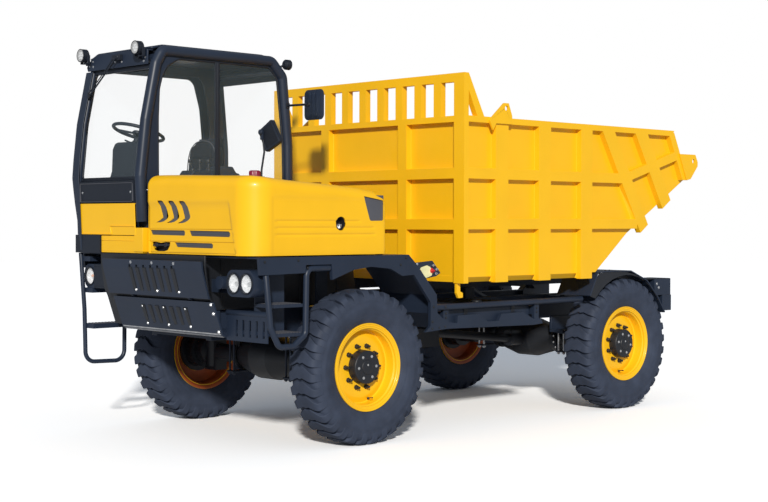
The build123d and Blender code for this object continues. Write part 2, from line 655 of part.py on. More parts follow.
def rear_fender():
    arch = plate_y([
        (560, 1075), (440, 1290), (200, 1295), (-60, 1290), (-310, 1195), (-480, 1040), (-600, 880),
        (-588, 872), (-468, 1032), (-303, 1184), (-57, 1278), (200, 1283), (432, 1278), (548, 1068),
    ], (800, FENDER_OUTER_Y))
    stay = box((200, 260), (RAIL_OUTER_Y, 820), (980, 1040)) + box((200, 260), (800, 820), (980, 1286))
    light = box((-740, -480), (900, 1150), (1040, 1195)) + box((-756, -612), (905, 1145), (888, 1040))
    light_arm = box((-700, -640), (RAIL_OUTER_Y - 60, 900), (1060, 1120))
    light_arm += box((-700, RAIL_REAR_X), (RAIL_OUTER_Y - 60, RAIL_OUTER_Y), (RAIL_TOP_Z - 180, 1120))
    return arch + stay, light + light_arm


# ---- bonnet, from the front axle ----

def bonnet_top(x):
    """Height of the bonnet's sloping top."""
    share = (x - BONNET_REAR) / (BONNET_FRONT - BONNET_REAR)
    return BONNET_REAR_TOP_Z + (BONNET_FRONT_TOP_Z - BONNET_REAR_TOP_Z) * share


def bonnet_block(inset):
    """Bonnet's rounded outer form, with its faces moved in by inset and run out below and inboard."""
    spread = 50 if inset else 0
    front, rear = BONNET_FRONT - inset, BONNET_REAR + inset
    block = plate_y([
        (front, BONNET_BOTTOM_Z - spread), (front, BONNET_FRONT_TOP_Z - inset),
        (rear, BONNET_REAR_TOP_Z - inset), (rear, BONNET_BOTTOM_Z - spread),
    ], (BONNET_INNER_Y - spread, BONNET_OUTER_Y - inset))
    upright = block.edges().filter_by(Axis.Z).sort_by(Axis.X)[-2:].sort_by(Axis.Y)[-1]
    block = fillet(upright, BONNET_CORNER - inset)
    top = block.faces().sort_by(Axis.Z)[-1]
    rim = [edge for edge in top.edges() if edge.center().X > rear + 1 and edge.center().Y > BONNET_INNER_Y + 1]
    return fillet(rim, BONNET_EDGE - inset)


CHEVRON = [
    # one of the front's curved vents, as (y, z)
    (-9, 1903), (45, 1904), (66, 1896), (92, 1859), (112, 1822), (126, 1785), (122, 1771), (101, 1756),
    (62, 1741), (-42, 1733), (23, 1754), (47, 1768), (45, 1785), (33, 1814), (12, 1860),
]
CHEVRON_COUNT, CHEVRON_PITCH, CHEVRON_DROP = 3, 142.5, 3
FRONT_SLOTS = (
    # lower Y, upper Y, lower Z, upper Z
    (-127, 330, 1630, 1675),
    (390, 895, 1626, 1671),
    (190, 680, 1540, 1585),
    (-112, 134, 1508, 1582),
)
SIDE_VENT = [(50, 1940), (-165, 1907), (-165, 1750), (-19, 1747)]
OUTLET = (287, 1727, 52)


HINGE_ARMS_Y = (640, 1040)


def bonnet():
    """Bonnet shell with its vents and the two arms of its rear hinge."""
    shell = bonnet_block(0) - bonnet_block(BONNET_WALL)
    through = (BONNET_FRONT - 40, BONNET_FRONT + 10)
    for k in range(CHEVRON_COUNT):
        shell -= plate_x([(y + CHEVRON_PITCH * k, z - CHEVRON_DROP * k) for y, z in CHEVRON], through)
    for low_y, high_y, low_z, high_z in FRONT_SLOTS:
        slot = box(through, (low_y, high_y), (low_z, high_z))
        shell -= fillet(slot.edges().filter_by(Axis.X), 12)
    beside = (BONNET_OUTER_Y - 40, BONNET_OUTER_Y + 10)
    shell -= plate_y(SIDE_VENT, beside)
    x, z, radius = OUTLET
    shell -= rod((x, beside[0], z), (x, beside[1], z), radius)
    for y in HINGE_ARMS_Y:
        shell += plate_y([
            (BONNET_HINGE - 16, BONNET_HINGE_Z - 16), (BONNET_HINGE + 16, BONNET_HINGE_Z - 16),
            (BONNET_REAR, BONNET_HINGE_Z), (BONNET_REAR, BONNET_HINGE_Z + 60),
            (BONNET_HINGE - 16, BONNET_HINGE_Z + 20),
        ], (y, y + BONNET_HINGE_ARM))
        shell += rod(
            (BONNET_HINGE, y - 20, BONNET_HINGE_Z), (BONNET_HINGE, y + BONNET_HINGE_ARM + 20, BONNET_HINGE_Z),
            BONNET_HINGE_PIN)
    return shell


def bonnet_hinge_ears():
    """Ears on the left deck that hold the bonnet's hinge pins."""
    ears = []
    for y in [low for arm in HINGE_ARMS_Y for low in (arm - 16, arm + BONNET_HINGE_ARM + 2)]:
        ear = plate_y([
            (BONNET_HINGE - 25, DECK_Z), (BONNET_HINGE + 20, DECK_Z),
            (BONNET_HINGE + 12, BONNET_HINGE_Z + 14), (BONNET_HINGE - 12, BONNET_HINGE_Z + 14),
        ], (y, y + 10))
        ears.append(ear - rod(
            (BONNET_HINGE, y - 5, BONNET_HINGE_Z), (BONNET_HINGE, y + 15, BONNET_HINGE_Z),
            BONNET_HINGE_PIN + RUNNING_GAP))
    return ears


def bonnet_mirror():
    """Mirror on a stalk that stands on the bonnet."""
    head = plate_x([(265, 2464), (435, 2558), (553, 2374), (367, 2292)], (349, 375))
    head = fillet(head.edges().filter_by(Axis.X), 24)
    x, y = 448, 400
    foot_radius = 24
    foot_z = bonnet_top(x + foot_radius) + RUNNING_GAP
    foot = rod((x, y, foot_z), (x, y, foot_z + 45), foot_radius)
    return head + foot + tube([(x, y, foot_z + 20), (x, y, 2150), (381, 352, 2300), (381, 325, 2455)], 8, 40)


# ---- engine, from the front axle ----

def engine():
    return box((-67, 793), (-150, RAIL_OUTER_Y - 10), (RAIL_TOP_Z, 1850))


# ---- cab, from the front axle ----

CAB_SIDE = [
    # cab's side line, from the front foot over the roof to the rear foot
    (1153, 1740), (1171, 2100), (1118, 2550), (1023, 3000), (963, 3105), (-157, 3105),
    (-277, 2980), (-337, 2400), (-347, CAB_FLOOR_Z + 1),
]
CAB_HEADER = (998, 3050, 34)
DOOR_HINGES_Z = (1660, 2300)
CAB_RIGHT_POST_Y = CAB_RIGHT_Y + CAB_POST_RADIUS + 10
GLASS_RIGHT_Y = CAB_RIGHT_POST_Y + CAB_POST_RADIUS + RUNNING_GAP
GLASS_LEFT_Y = CAB_LEFT_Y - CAB_TUBE_RADIUS - RUNNING_GAP


def cab_loop(y, radius, foot):
    points = [(x, y, z) for x, z in CAB_SIDE]
    points[0] = (CAB_SIDE[0][0], y, foot)
    return tube(points, radius, 60)


def cab_frame():
    """Two side loops with their headers, the front foot's bracket and the door's hinge blocks."""
    left = cab_loop(CAB_LEFT_Y, CAB_TUBE_RADIUS, 1740)
    right = cab_loop(CAB_RIGHT_POST_Y, CAB_POST_RADIUS, 1630)
    x, z, radius = CAB_HEADER
    header = rod((x, CAB_RIGHT_POST_Y, z), (x, CAB_LEFT_Y, z), radius)
    rear = rod((-227, CAB_RIGHT_POST_Y, 3030), (-227, CAB_LEFT_Y, 3030), 30)
    bracket = box((CAB_FRONT, 1153), (CAB_LEFT_Y - 110, CAB_LEFT_Y), (1780, 1850))
    cage = left + right + header + rear + bracket
    for z in DOOR_HINGES_Z:
        block = box((DOOR_HINGE - 50, DOOR_HINGE + 14), (DOOR_HINGE_Y - 14, CAB_RIGHT_POST_Y), (z, z + 40))
        cage += block - rod(
            (DOOR_HINGE, DOOR_HINGE_Y, z - 5), (DOOR_HINGE, DOOR_HINGE_Y, z + 45), DOOR_PIN_RADIUS + RUNNING_GAP)
    return cage


def cab_body():
    """Floor and lower walls of the cab, open on the door's side."""
    floor = box(
        (CAB_REAR - 40, CAB_FRONT + 15), (CAB_RIGHT_Y, CAB_LEFT_Y + 35),
        (CAB_FLOOR_Z - CAB_FLOOR_THICKNESS, CAB_FLOOR_Z))
    left = box((CAB_REAR + 50, CAB_FRONT - 3), (CAB_LEFT_Y - 15, CAB_LEFT_Y + 15), (CAB_FLOOR_Z, CAB_WAIST_Z))
    front = box((CAB_FRONT - 30, CAB_FRONT), (GLASS_RIGHT_Y, CAB_LEFT_Y - 15), (CAB_FLOOR_Z, CAB_WAIST_Z))
    rear = box((CAB_REAR - 10, CAB_REAR + 10), (GLASS_RIGHT_Y, GLASS_LEFT_Y), (CAB_FLOOR_Z, CAB_WAIST_Z))
    return floor + left + front + rear


def cab_glass():
    """Windscreen, left window and rear window."""
    sill = CAB_WAIST_Z + 1
    screen = plate_y([
        (1163, 2078), (1113, 2550), (1021, 2990), (1015, 2989), (1107, 2549), (1157, 2078),
    ], (GLASS_RIGHT_Y, GLASS_LEFT_Y))
    left = plate_y([
        (1101, sill), (1122, 2098), (1069, 2540), (973, 2990), (935, 3056), (-133, 3056),
        (-223, 2960), (-288, 2396), (-296, sill),
    ], (CAB_LEFT_Y - GLASS / 2, CAB_LEFT_Y + GLASS / 2))
    rear = plate_y([
        (-345, sill), (-339, 2400), (-281, 2975), (-275, 2975), (-333, 2400), (-339, sill),
    ], (GLASS_RIGHT_Y, GLASS_LEFT_Y))
    return screen, left, rear


def cab_front():
    """Coloured front panel, a folded skin."""
    return plate_y([
        (CAB_FRONT, 1880), (1193, 1885), (1183, 1630), (CAB_FRONT, 1630), (CAB_FRONT, 1636),
        (1177, 1636), (1186, 1879), (CAB_FRONT, 1874),
    ], (GLASS_RIGHT_Y, CAB_LEFT_Y - CAB_TUBE_RADIUS - 6))


def cab_scuttle():
    """Dark strip under the windscreen and the dark lower corner of the front."""
    strip = plate_y([
        (CAB_FRONT, 1890), (1195, 1890), (1205, 2060), (1165, 2077), (1153, 2077), (CAB_FRONT, CAB_WAIST_Z),
    ], (GLASS_RIGHT_Y, GLASS_LEFT_Y))
    corner = box((CAB_FRONT + 16, 1185), (CAB_RIGHT_Y, -790), (DECK_Z, 1628))
    return strip, corner + box((CAB_FRONT, CAB_FRONT + 16), (-1080, -790), (CAB_FLOOR_Z, 1628))


def front_flap():
    return box((CAB_FRONT + 16, 1173), (-785, CAB_LEFT_Y + 35), (DECK_Z + 8, 1626)) + box(
        (CAB_FRONT, CAB_FRONT + 16), (-785, CAB_LEFT_Y - 20), (CAB_FLOOR_Z, 1626))


def cab_roof():
    """Roof panel on the loops, and the fascia in front of the header."""
    panel = box((-177, 1013), (CAB_RIGHT_Y - 10, CAB_LEFT_Y - 50), (3135.3, 3170))
    face = CAB_HEADER[0] + CAB_HEADER[2] + RUNNING_GAP
    fascia = plate_x([
        (GLASS_RIGHT_Y + 1, 2994), (GLASS_RIGHT_Y + 1, 3050), (-960, 3122), (GLASS_LEFT_Y - 1, 3112),
        (GLASS_LEFT_Y - 1, 2994),
    ], (face, face + 18))
    return panel, fascia


def door():
    """Framed door along the cab's right side, with its hinge pins, and its glass."""
    y = (CAB_RIGHT_Y - 35, CAB_RIGHT_Y - 5)
    outline = [
        (-277, CAB_FLOOR_Z + 5), (1103, CAB_FLOOR_Z + 5), (1123, 2100), (1073, 2550), (988, 2960),
        (-217, 2960), (-275, 2400),
    ]
    window = [
        (-137, CAB_WAIST_Z), (1043, CAB_WAIST_Z), (1048, 2100), (1003, 2540), (928, 2885), (-12, 2885),
        (-115, 2400),
    ]
    pane = [(x + (RUNNING_GAP if x < 213 else -RUNNING_GAP), z) for x, z in window]
    panel = plate_y(outline, y) - plate_y(window, (y[0] - 5, y[1] + 5))
    for z in DOOR_HINGES_Z:
        panel += rod((DOOR_HINGE, DOOR_HINGE_Y, z), (DOOR_HINGE, DOOR_HINGE_Y, z + 80), DOOR_PIN_RADIUS)
        panel += box((DOOR_HINGE - DOOR_PIN_RADIUS, DOOR_HINGE + 45), (y[0], y[0] + 16), (z + 41, z + 80))
    return panel, plate_y(pane, (y[0] + 12, y[0] + 12 + GLASS))


def seat():
    """Cushion and raked back on a pedestal."""
    cushion = box((113, 563), (-930, -480), (1850, 1950))
    back = plate_y([(143, 1950), (98, 2465), (13, 2450), (43, 1850), (143, 1850)], (-920, -490))
    base = box((143, 483), (-880, -530), (CAB_FLOOR_Z, 1850))
    return fillet(cushion.edges().filter_by(Axis.Z), 60) + back, base


def steering():
    """Dashboard with the column and steering wheel, and the console along the left wall."""
    dash = plate_y([
        (943, CAB_FLOOR_Z), (CAB_FRONT - 30.3, CAB_FLOOR_Z), (CAB_FRONT - 30.3, CAB_WAIST_Z), (1105, 2075),
        (1085, 2400), (1013, 2385), (833, 2290), (838, 2230), (943, 2090),
    ], (-940, -560))
    column = rod((1003, -780, 2050), (884, -780, 2376), 22)
    plane = Plane(origin=(883, -780, 2378), z_dir=(-115, 0, 315))
    wheel = plane * Torus(195, 14)
    wheel += plane * Box(380, 30, 12) + plane * Box(30, 380, 12) + plane * Cylinder(45, 26)
    side = plate_y([
        (153, CAB_FLOOR_Z), (673, CAB_FLOOR_Z), (673, 2110), (623, 2190), (193, 2200), (153, 2160),
    ], (-420, CAB_LEFT_Y - 15.3))
    return dash + column + wheel, side


def cab_mirror():
    head = box((-362, -322), (-20, 230), (2600, 2860))
    return fillet(head.edges().filter_by(Axis.X), 35) + rod((-302, -178.6, 2735), (-342, 0, 2735), 10)


def work_lamps():
    """Lamps on the roof's front edge and at the rear of the left loop."""
    lamps = []
    for y in (-1122, -318):
        lamps.append(rod((1078, y, 3125), (1153, y, 3125), 55) + rod((1017, y, 3150), (1088, y, 3125), 10))
    lamps.append(rod((-362, -225, 3090), (-302, -225, 3090), 45) + rod(
        (-307, -225, 3085), (-259, -225, 3070), 8))
    return lamps


def main():
    os.makedirs("parts", exist_ok=True)
    save_wheels()
    save_front("front_axle", front_axle())
    save_front("knuckle_left", knuckle())
    save_front("knuckle_right", other_side(knuckle()))
    save("rear_axle", rear_axle())
    save("driveline", driveline())
    save("frame", frame())
    save("skip", skip())
    save("skip_subframe", skip_subframe())
    save("ram_barrel", ram_barrel())
    save("ram_rod", ram_rod())
    save("side_guards", side_guard(), other_side(side_guard()), tank(), other_side(tank()))
    fender, light = rear_fender()
    save("fenders_rear", fender, other_side(fender), light, other_side(light))
    save_front("engine", engine())
    save_front("fender_front_left", front_fender() + switch_bracket(), *bonnet_hinge_ears())
    save_front("fender_front_right", other_side(front_fender()))
    save_front("step_guard", step_guard(), bumper_side())
    save_front("ladder", ladder())
    save_front("nose", *nose(), lamp_pod(), other_side(lamp_pod()))
    save_front("headlamps", *lamp_lenses())
    save_front("bonnet", bonnet())
    save_front("bonnet_mirror", bonnet_mirror())
    save_front("cab_frame", cab_frame())
    save_front("cab_body", cab_body())
    save_front("cab_front", cab_front(), front_flap())
    save_front("cab_scuttle", *cab_scuttle())
    save_front("cab_roof", *cab_roof())
    save_front("cab_glass", *cab_glass())
    panel, glass = door()
    save_front("cab_door", panel)
    save_front("door_glass", glass)
    save_front("seat", *seat())
    save_front("steering", *steering())
    save_front("cab_mirror", cab_mirror())
    save_front("work_lamps", *work_lamps())


main()
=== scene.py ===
import bmesh
import bpy
import json
import math
import random
from mathutils import Matrix, Vector


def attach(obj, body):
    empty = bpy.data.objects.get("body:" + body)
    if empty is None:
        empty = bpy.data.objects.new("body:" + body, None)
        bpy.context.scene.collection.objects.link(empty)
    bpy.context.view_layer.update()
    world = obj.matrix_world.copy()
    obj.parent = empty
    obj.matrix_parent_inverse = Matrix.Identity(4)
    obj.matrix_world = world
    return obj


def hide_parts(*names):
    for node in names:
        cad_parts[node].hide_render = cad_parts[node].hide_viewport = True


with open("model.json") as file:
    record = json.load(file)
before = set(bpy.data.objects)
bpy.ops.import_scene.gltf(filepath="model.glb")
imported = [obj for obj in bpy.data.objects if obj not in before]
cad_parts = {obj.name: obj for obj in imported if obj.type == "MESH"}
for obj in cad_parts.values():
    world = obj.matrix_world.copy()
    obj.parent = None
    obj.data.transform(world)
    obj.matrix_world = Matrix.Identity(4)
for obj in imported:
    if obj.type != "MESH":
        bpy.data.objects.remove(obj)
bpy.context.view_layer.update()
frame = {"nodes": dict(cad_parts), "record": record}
nodes = frame["nodes"]

# Metres. Places along X are given from the rear axle, as in part.py; at() moves them to the part's origin.
MIDDLE_X = 1.745
WHEELBASE, HALF_TRACK, AXLE_Z = 3.287, 1.047, 0.607
AHEAD, BACK, LEFT, UP, DOWN = (Vector(v) for v in ((1, 0, 0), (-1, 0, 0), (0, 1, 0), (0, 0, 1), (0, 0, -1)))
SIDES = (("right", -1), ("left", 1))


def at(x, y, z):
    """Place in the part's frame of one given from the rear axle."""
    return Vector((x - MIDDLE_X, y, z))


# ---------------------------------------------------------------- camera, stage and light

CAMERA_PLACE, CAMERA_LENS = (9.215, 9.389, 1.744), 67.8
CAMERA_TURNS = (226.369, 1.172, 0.107)
SUN_FROM, SUN_ENERGY = (0.624, 0.672, 0.398), 3.45
SKY, SKY_STRENGTH = (0.82, 0.9, 1.0, 1), 0.3
FLOOR_LIT, FLOOR_SEEN = (0.66, 0.67, 0.7, 1), (1.53, 1.54, 1.57, 1)


def make_camera():
    """Camera with the yaw and pitch of its line of sight, and its roll about that line."""
    yaw, pitch, roll = (math.radians(turn) for turn in CAMERA_TURNS)
    ahead = Vector((math.cos(yaw) * math.cos(pitch), math.sin(yaw) * math.cos(pitch), -math.sin(pitch)))
    level = Vector((math.sin(yaw), -math.cos(yaw), 0))
    upright = level.cross(ahead)
    right = level * math.cos(roll) + upright * math.sin(roll)
    up = upright * math.cos(roll) - level * math.sin(roll)
    data = bpy.data.cameras.new("camera")
    data.sensor_width, data.lens, data.clip_end = 36.0, CAMERA_LENS, 200
    camera = bpy.data.objects.new("camera", data)
    turn = Matrix((right, up, -ahead)).transposed().to_4x4()
    camera.matrix_world = Matrix.Translation(CAMERA_PLACE) @ turn
    bpy.context.scene.collection.objects.link(camera)
    bpy.context.scene.camera = camera


def new_tree(name):
    """New material, with its node tree and main shader."""
    material = bpy.data.materials.new(name)
    material.use_nodes = True
    tree = material.node_tree
    return material, tree, tree.nodes["Principled BSDF"]


def set_inputs(node, values):
    for name, value in values.items():
        node.inputs[name].default_value = value


def choose(tree, choice, first, second, output):
    """Ends a node tree: the second shader where choice is 1, and the first elsewhere."""
    mix = tree.nodes.new("ShaderNodeMixShader")
    for place, source in enumerate((choice, first.outputs[0], second.outputs[0])):
        tree.links.new(source, mix.inputs[place])
    tree.links.new(mix.outputs[0], tree.nodes[output].inputs["Surface"])


def make_stage():
    """Pale floor, a soft sky that is white where it is seen or shines through glass, and one sun."""
    bpy.ops.mesh.primitive_plane_add(size=90, location=(0, 0, 0))
    floor = bpy.context.object
    floor.name = "studio_floor"
    material, tree, shader = new_tree("floor_white")
    set_inputs(shader, {"Base Color": FLOOR_LIT, "Roughness": 0.9, "Specular IOR Level": 0.1})
    path = tree.nodes.new("ShaderNodeLightPath")
    seen = tree.nodes.new("ShaderNodeBsdfDiffuse")
    set_inputs(seen, {"Color": FLOOR_SEEN})
    choose(tree, path.outputs["Is Camera Ray"], shader, seen, "Material Output")
    floor.data.materials.append(material)

    world = bpy.data.worlds.new("studio")
    bpy.context.scene.world = world
    world.use_nodes = True
    tree = world.node_tree
    sky = tree.nodes["Background"]
    set_inputs(sky, {"Color": SKY, "Strength": SKY_STRENGTH})
    white = tree.nodes.new("ShaderNodeBackground")
    set_inputs(white, {"Color": (1, 1, 1, 1)})
    path = tree.nodes.new("ShaderNodeLightPath")
    either = tree.nodes.new("ShaderNodeMath")
    either.operation = "MAXIMUM"
    tree.links.new(path.outputs["Is Camera Ray"], either.inputs[0])
    tree.links.new(path.outputs["Is Transmission Ray"], either.inputs[1])
    choose(tree, either.outputs[0], sky, white, "World Output")

    sun = bpy.data.lights.new("sun", "SUN")
    sun.energy, sun.angle, sun.color = SUN_ENERGY, math.radians(4), (1.0, 0.965, 0.9)
    lamp = bpy.data.objects.new("sun", sun)
    lamp.rotation_euler = Vector(SUN_FROM).to_track_quat("Z", "Y").to_euler()
    bpy.context.scene.collection.objects.link(lamp)
    bpy.context.scene.view_settings.view_transform = "Standard"


# ---------------------------------------------------------------- materials

def finish_of(name, rgb, rough, metallic=0.0, coat=0.0, shift=0.06, scale=2.5, bump=0.0, grain=300.0,
              specular=0.5):
    """A coloured surface with a slow drift of shade, uneven gloss and a fine surface grain."""
    material, tree, shader = new_tree(name)
    make, link = tree.nodes.new, tree.links.new
    place, slow, ramp = make("ShaderNodeTexCoord"), make("ShaderNodeTexNoise"), make("ShaderNodeValToRGB")
    set_inputs(slow, {"Scale": scale, "Detail": 5})
    for stop, position, share in zip(ramp.color_ramp.elements, (0.3, 0.7), (1 - shift, 1 + shift)):
        stop.position = position
        stop.color = (*[min(1, c * share) for c in rgb], 1)
    gloss = make("ShaderNodeMapRange")
    set_inputs(gloss, {"To Min": max(0.02, rough - 0.06), "To Max": min(1, rough + 0.06)})
    link(place.outputs["Object"], slow.inputs["Vector"])
    link(slow.outputs["Fac"], ramp.inputs["Fac"])
    link(ramp.outputs["Color"], shader.inputs["Base Color"])
    link(slow.outputs["Fac"], gloss.inputs["Value"])
    link(gloss.outputs["Result"], shader.inputs["Roughness"])
    set_inputs(shader, {
        "Metallic": metallic, "Coat Weight": coat, "Coat Roughness": 0.08, "Specular IOR Level": specular})
    if bump:
        fine, push = make("ShaderNodeTexNoise"), make("ShaderNodeBump")
        set_inputs(fine, {"Scale": grain})
        set_inputs(push, {"Strength": bump, "Distance": 0.002})
        link(place.outputs["Object"], fine.inputs["Vector"])
        link(fine.outputs["Fac"], push.inputs["Height"])
        link(push.outputs["Normal"], shader.inputs["Normal"])
    return material


def clear(name, rgb, alpha, rough=0.03):
    """See-through pane or lens with a faint drift of tint and gloss."""
    material = finish_of(name, rgb, rough + 0.05, shift=0.08, scale=3.0)
    set_inputs(material.node_tree.nodes["Principled BSDF"], {"Alpha": alpha})
    return material


YELLOW = finish_of(
    "yellow_paint", (0.93, 0.515, 0.008), 0.4, coat=0.18, shift=0.03, bump=0.03, specular=0.35)
DARK = finish_of("blue_black_paint", (0.017, 0.026, 0.048), 0.4, shift=0.12, bump=0.05, specular=0.35)
BLACK = finish_of("black_paint", (0.012, 0.014, 0.019), 0.45, shift=0.15, bump=0.06)
PLASTIC = finish_of(
    "black_plastic", (0.012, 0.016, 0.026), 0.5, shift=0.1, bump=0.2, grain=900, specular=0.35)
RUBBER = finish_of(
    "tyre_rubber", (0.035, 0.046, 0.076), 0.7, shift=0.18, scale=9, bump=0.3, grain=420, specular=0.3)
GRILLE = finish_of("grey_grille", (0.085, 0.088, 0.105), 0.5, shift=0.1, bump=0.2, grain=600)
PALE_GREY = finish_of("pale_grey_finish", (0.33, 0.34, 0.36), 0.5, shift=0.25, scale=25)
STEEL = finish_of("zinc_steel", (0.62, 0.63, 0.65), 0.32, metallic=0.9, shift=0.08, scale=30)
CHROME = finish_of("hard_chrome", (0.8, 0.8, 0.82), 0.12, metallic=1.0, shift=0.03)
CLOTH = finish_of(
    "seat_cloth", (0.016, 0.019, 0.026), 0.85, shift=0.25, scale=40, bump=0.5, grain=1500, specular=0.2)
GLASS = clear("clear_glass", (0.5, 0.64, 0.7), 0.03)
LENS = clear("lamp_lens", (0.9, 0.93, 0.96), 0.25, 0.05)
RED = finish_of("red_plastic", (0.55, 0.012, 0.015), 0.35, shift=0.08)
AMBER = finish_of("amber_plastic", (0.9, 0.25, 0.01), 0.3, shift=0.08)
WHITE = finish_of("white_reflector", (0.85, 0.87, 0.9), 0.2, shift=0.05, scale=60)
# orange-brown for the rims' inner faces: painted shade, the colour that the yellow paint takes on in the
# shade inside the rims
RIM_SHADE_ORANGE = finish_of("rim_inner_painted_shade", (0.42, 0.085, 0.018), 0.5, shift=0.15, scale=8)
MAROON = finish_of("maroon_cap", (0.2, 0.012, 0.045), 0.32, shift=0.1, scale=20)
PALE = finish_of("pale_plate", (0.83, 0.8, 0.45), 0.4, shift=0.12, scale=18)
MIRROR = finish_of("mirror_glass", (0.86, 0.88, 0.9), 0.08, metallic=1.0, shift=0.02)
CLEAR_LENS = clear("clear_lens", (0.92, 0.94, 0.97), 0.45, 0.06)

NODE_FINISH = {
    "machine_yellow": YELLOW, "chassis_dark": DARK, "hub_dark": BLACK, "bright_rod": CHROME,
    "tyre_rubber": RUBBER, "lamp_lens": LENS, "black_plastic": PLASTIC, "clear_glass": GLASS,
    "seat_cover": CLOTH,
}


def round_edges(piece, width, segments=2, angle=35):
    """Bevels the edges that turn by more than an angle in degrees."""
    edges = piece.modifiers.new("edges", "BEVEL")
    edges.width, edges.segments, edges.limit_method = width, segments, "ANGLE"
    edges.angle_limit = math.radians(angle)


def dress_nodes():
    """Gives each CAD node the finish of its slot, and rounds the edges of the painted ones."""
    slots = {part["node"]: part["material_slot"] for part in frame["record"]["subparts"]}
    for name, node in nodes.items():
        node.data.materials.clear()
        node.data.materials.append(NODE_FINISH[slots[name]])
        if slots[name] in ("machine_yellow", "chassis_dark"):
            node.modifiers.new("join", "WELD").merge_threshold = 0.0002
            round_edges(node, 0.0035)


# ---------------------------------------------------------------- numbers and meshes

def smooth(value, low, high):
    """Eased step from 0 at low to 1 at high."""
    t = max(0.0, min(1.0, (value - low) / (high - low)))
    return t * t * (3 - 2 * t)


def between(table, value):
    """Row of a table at a value of its first column, along straight runs between its rows."""
    for (a, *low), (b, *high) in zip(table, table[1:]):
        if value <= b + 1e-9:
            return [p + (q - p) * (value - a) / (b - a) for p, q in zip(low, high)]
    return list(table[-1][1:])


def circle(count, radius, turn=0.0):
    """Points (u, v) spread evenly round a circle; turn is in steps of the spread."""
    angles = [2 * math.pi * (k + turn) / count for k in range(count)]
    return [(radius * math.cos(a), radius * math.sin(a)) for a in angles]


def limits(outline, margin=0.0):
    """Limits of an outline on its two axes, widened by a margin."""
    return [(min(values) - margin, max(values) + margin) for values in zip(*outline)]


def add(name, bm, finish, slot="black_plastic", body="chassis", is_smooth=True, bevel=0.0, segments=2):
    """Ends a mesh as a named piece that rides on a body."""
    bmesh.ops.recalc_face_normals(bm, faces=bm.faces)
    mesh = bpy.data.meshes.new(name)
    bm.to_mesh(mesh)
    bm.free()
    piece = bpy.data.objects.new(name, mesh)
    bpy.context.scene.collection.objects.link(piece)
    mesh.materials.append(finish)
    if bevel:
        round_edges(piece, bevel, segments)
    for polygon in mesh.polygons:
        polygon.use_smooth = is_smooth
    if is_smooth:
        mesh.set_sharp_from_angle(angle=math.radians(38))
    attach(piece, body)
    return piece


def settle(piece):
    """Applies the piece's modifiers."""
    graph = bpy.context.evaluated_depsgraph_get()
    mesh = bpy.data.meshes.new_from_object(piece.evaluated_get(graph), depsgraph=graph)
    piece.modifiers.clear()
    piece.data = mesh


def carve(target, cutters):
    """Applies the target's modifiers and takes the cutters out of it."""
    for cutter in cutters:
        cut = target.modifiers.new("cut", "BOOLEAN")
        cut.object, cut.solver = cutter, "EXACT"
    settle(target)
    for cutter in cutters:
        bpy.data.objects.remove(cutter)


def thicken(piece, thickness):
    """Gives a sheet its thickness, inward from its face."""
    shell = piece.modifiers.new("shell", "SOLIDIFY")
    shell.thickness, shell.offset = thickness, -1


def bridge(bm, rings, is_closed=True):
    """Faces between neighbouring rings of points; a ring may be one point, and may stay open."""
    count = max(len(ring) for ring in rings)
    for a, b in zip(rings, rings[1:]):
        for k in range(count if is_closed else count - 1):
            n = (k + 1) % count
            corners = dict.fromkeys((a[k % len(a)], a[n % len(a)], b[n % len(b)], b[k % len(b)]))
            if len(corners) > 2:
                bm.faces.new(tuple(corners))


def loft(bm, rings):
    """Solid through rings of points, closed at both ends."""
    bm.faces.new(rings[0])
    bm.faces.new(rings[-1])
    bridge(bm, rings)


def prism(bm, outline, axis, low, high):
    """Solid from an outline of (x, z) points along 'y', (y, z) along 'x' or (x, y) along 'z'."""
    place = {
        "y": lambda p, d: at(p[0], d, p[1]),
        "x": lambda p, d: at(d, p[0], p[1]),
        "z": lambda p, d: at(p[0], p[1], d),
    }[axis]
    loft(bm, [[bm.verts.new(place(p, d)) for p in outline] for d in (low, high)])


def block(bm, x, y, z):
    """Block between two limits on each axis."""
    prism(bm, [(x[0], z[0]), (x[1], z[0]), (x[1], z[1]), (x[0], z[1])], "y", *y)


def blocks(bm, *rows):
    """Blocks from rows of limits: x, x, y, y, z, z."""
    for row in rows:
        block(bm, row[0:2], row[2:4], row[4:6])


def plate(name, outline, axis, low, high, finish, is_smooth=False, **looks):
    """Piece of one prism, with flat faces unless it is smooth."""
    bm = bmesh.new()
    prism(bm, outline, axis, low, high)
    return add(name, bm, finish, is_smooth=is_smooth, **looks)


def across_of(direction):
    """Two directions square to a given one and to each other."""
    side = UP if abs(direction.z) < 0.9 else AHEAD
    across = direction.cross(side).normalized()
    return across, direction.cross(across).normalized()


def ring(bm, centre, across, up, radius, count):
    """Points of a circle in the plane of two directions."""
    return [bm.verts.new(centre + across * u + up * v) for u, v in circle(count, radius)]


def lathe(bm, origin, direction, outline, count=48, is_hoop=False):
    """Outline of (radius, distance) points turned about a line; an end at radius 0 is one point."""
    direction = direction.normalized()
    across, up = across_of(direction)
    rings = []
    for radius, distance in outline:
        centre = origin + direction * distance
        if radius < 1e-6:
            rings.append([bm.verts.new(centre)])
        else:
            rings.append(ring(bm, centre, across, up, radius, count))
    bridge(bm, rings + rings[:1] if is_hoop else rings)


def hoop(bm, origin, direction, outline, count=48):
    """Turned ring whose outline closes on itself."""
    lathe(bm, origin, direction, outline, count, True)


def cap(bm, origin, direction, steps, count=20):
    """Turned form that is open at its foot and closed flat at its far end."""
    lathe(bm, origin, direction, [*steps, (0, steps[-1][1])], count)


def stud(bm, origin, direction, steps, count=20):
    """Turned form that is closed flat at both ends."""
    cap(bm, origin, direction, [(0, steps[0][1]), *steps], count)


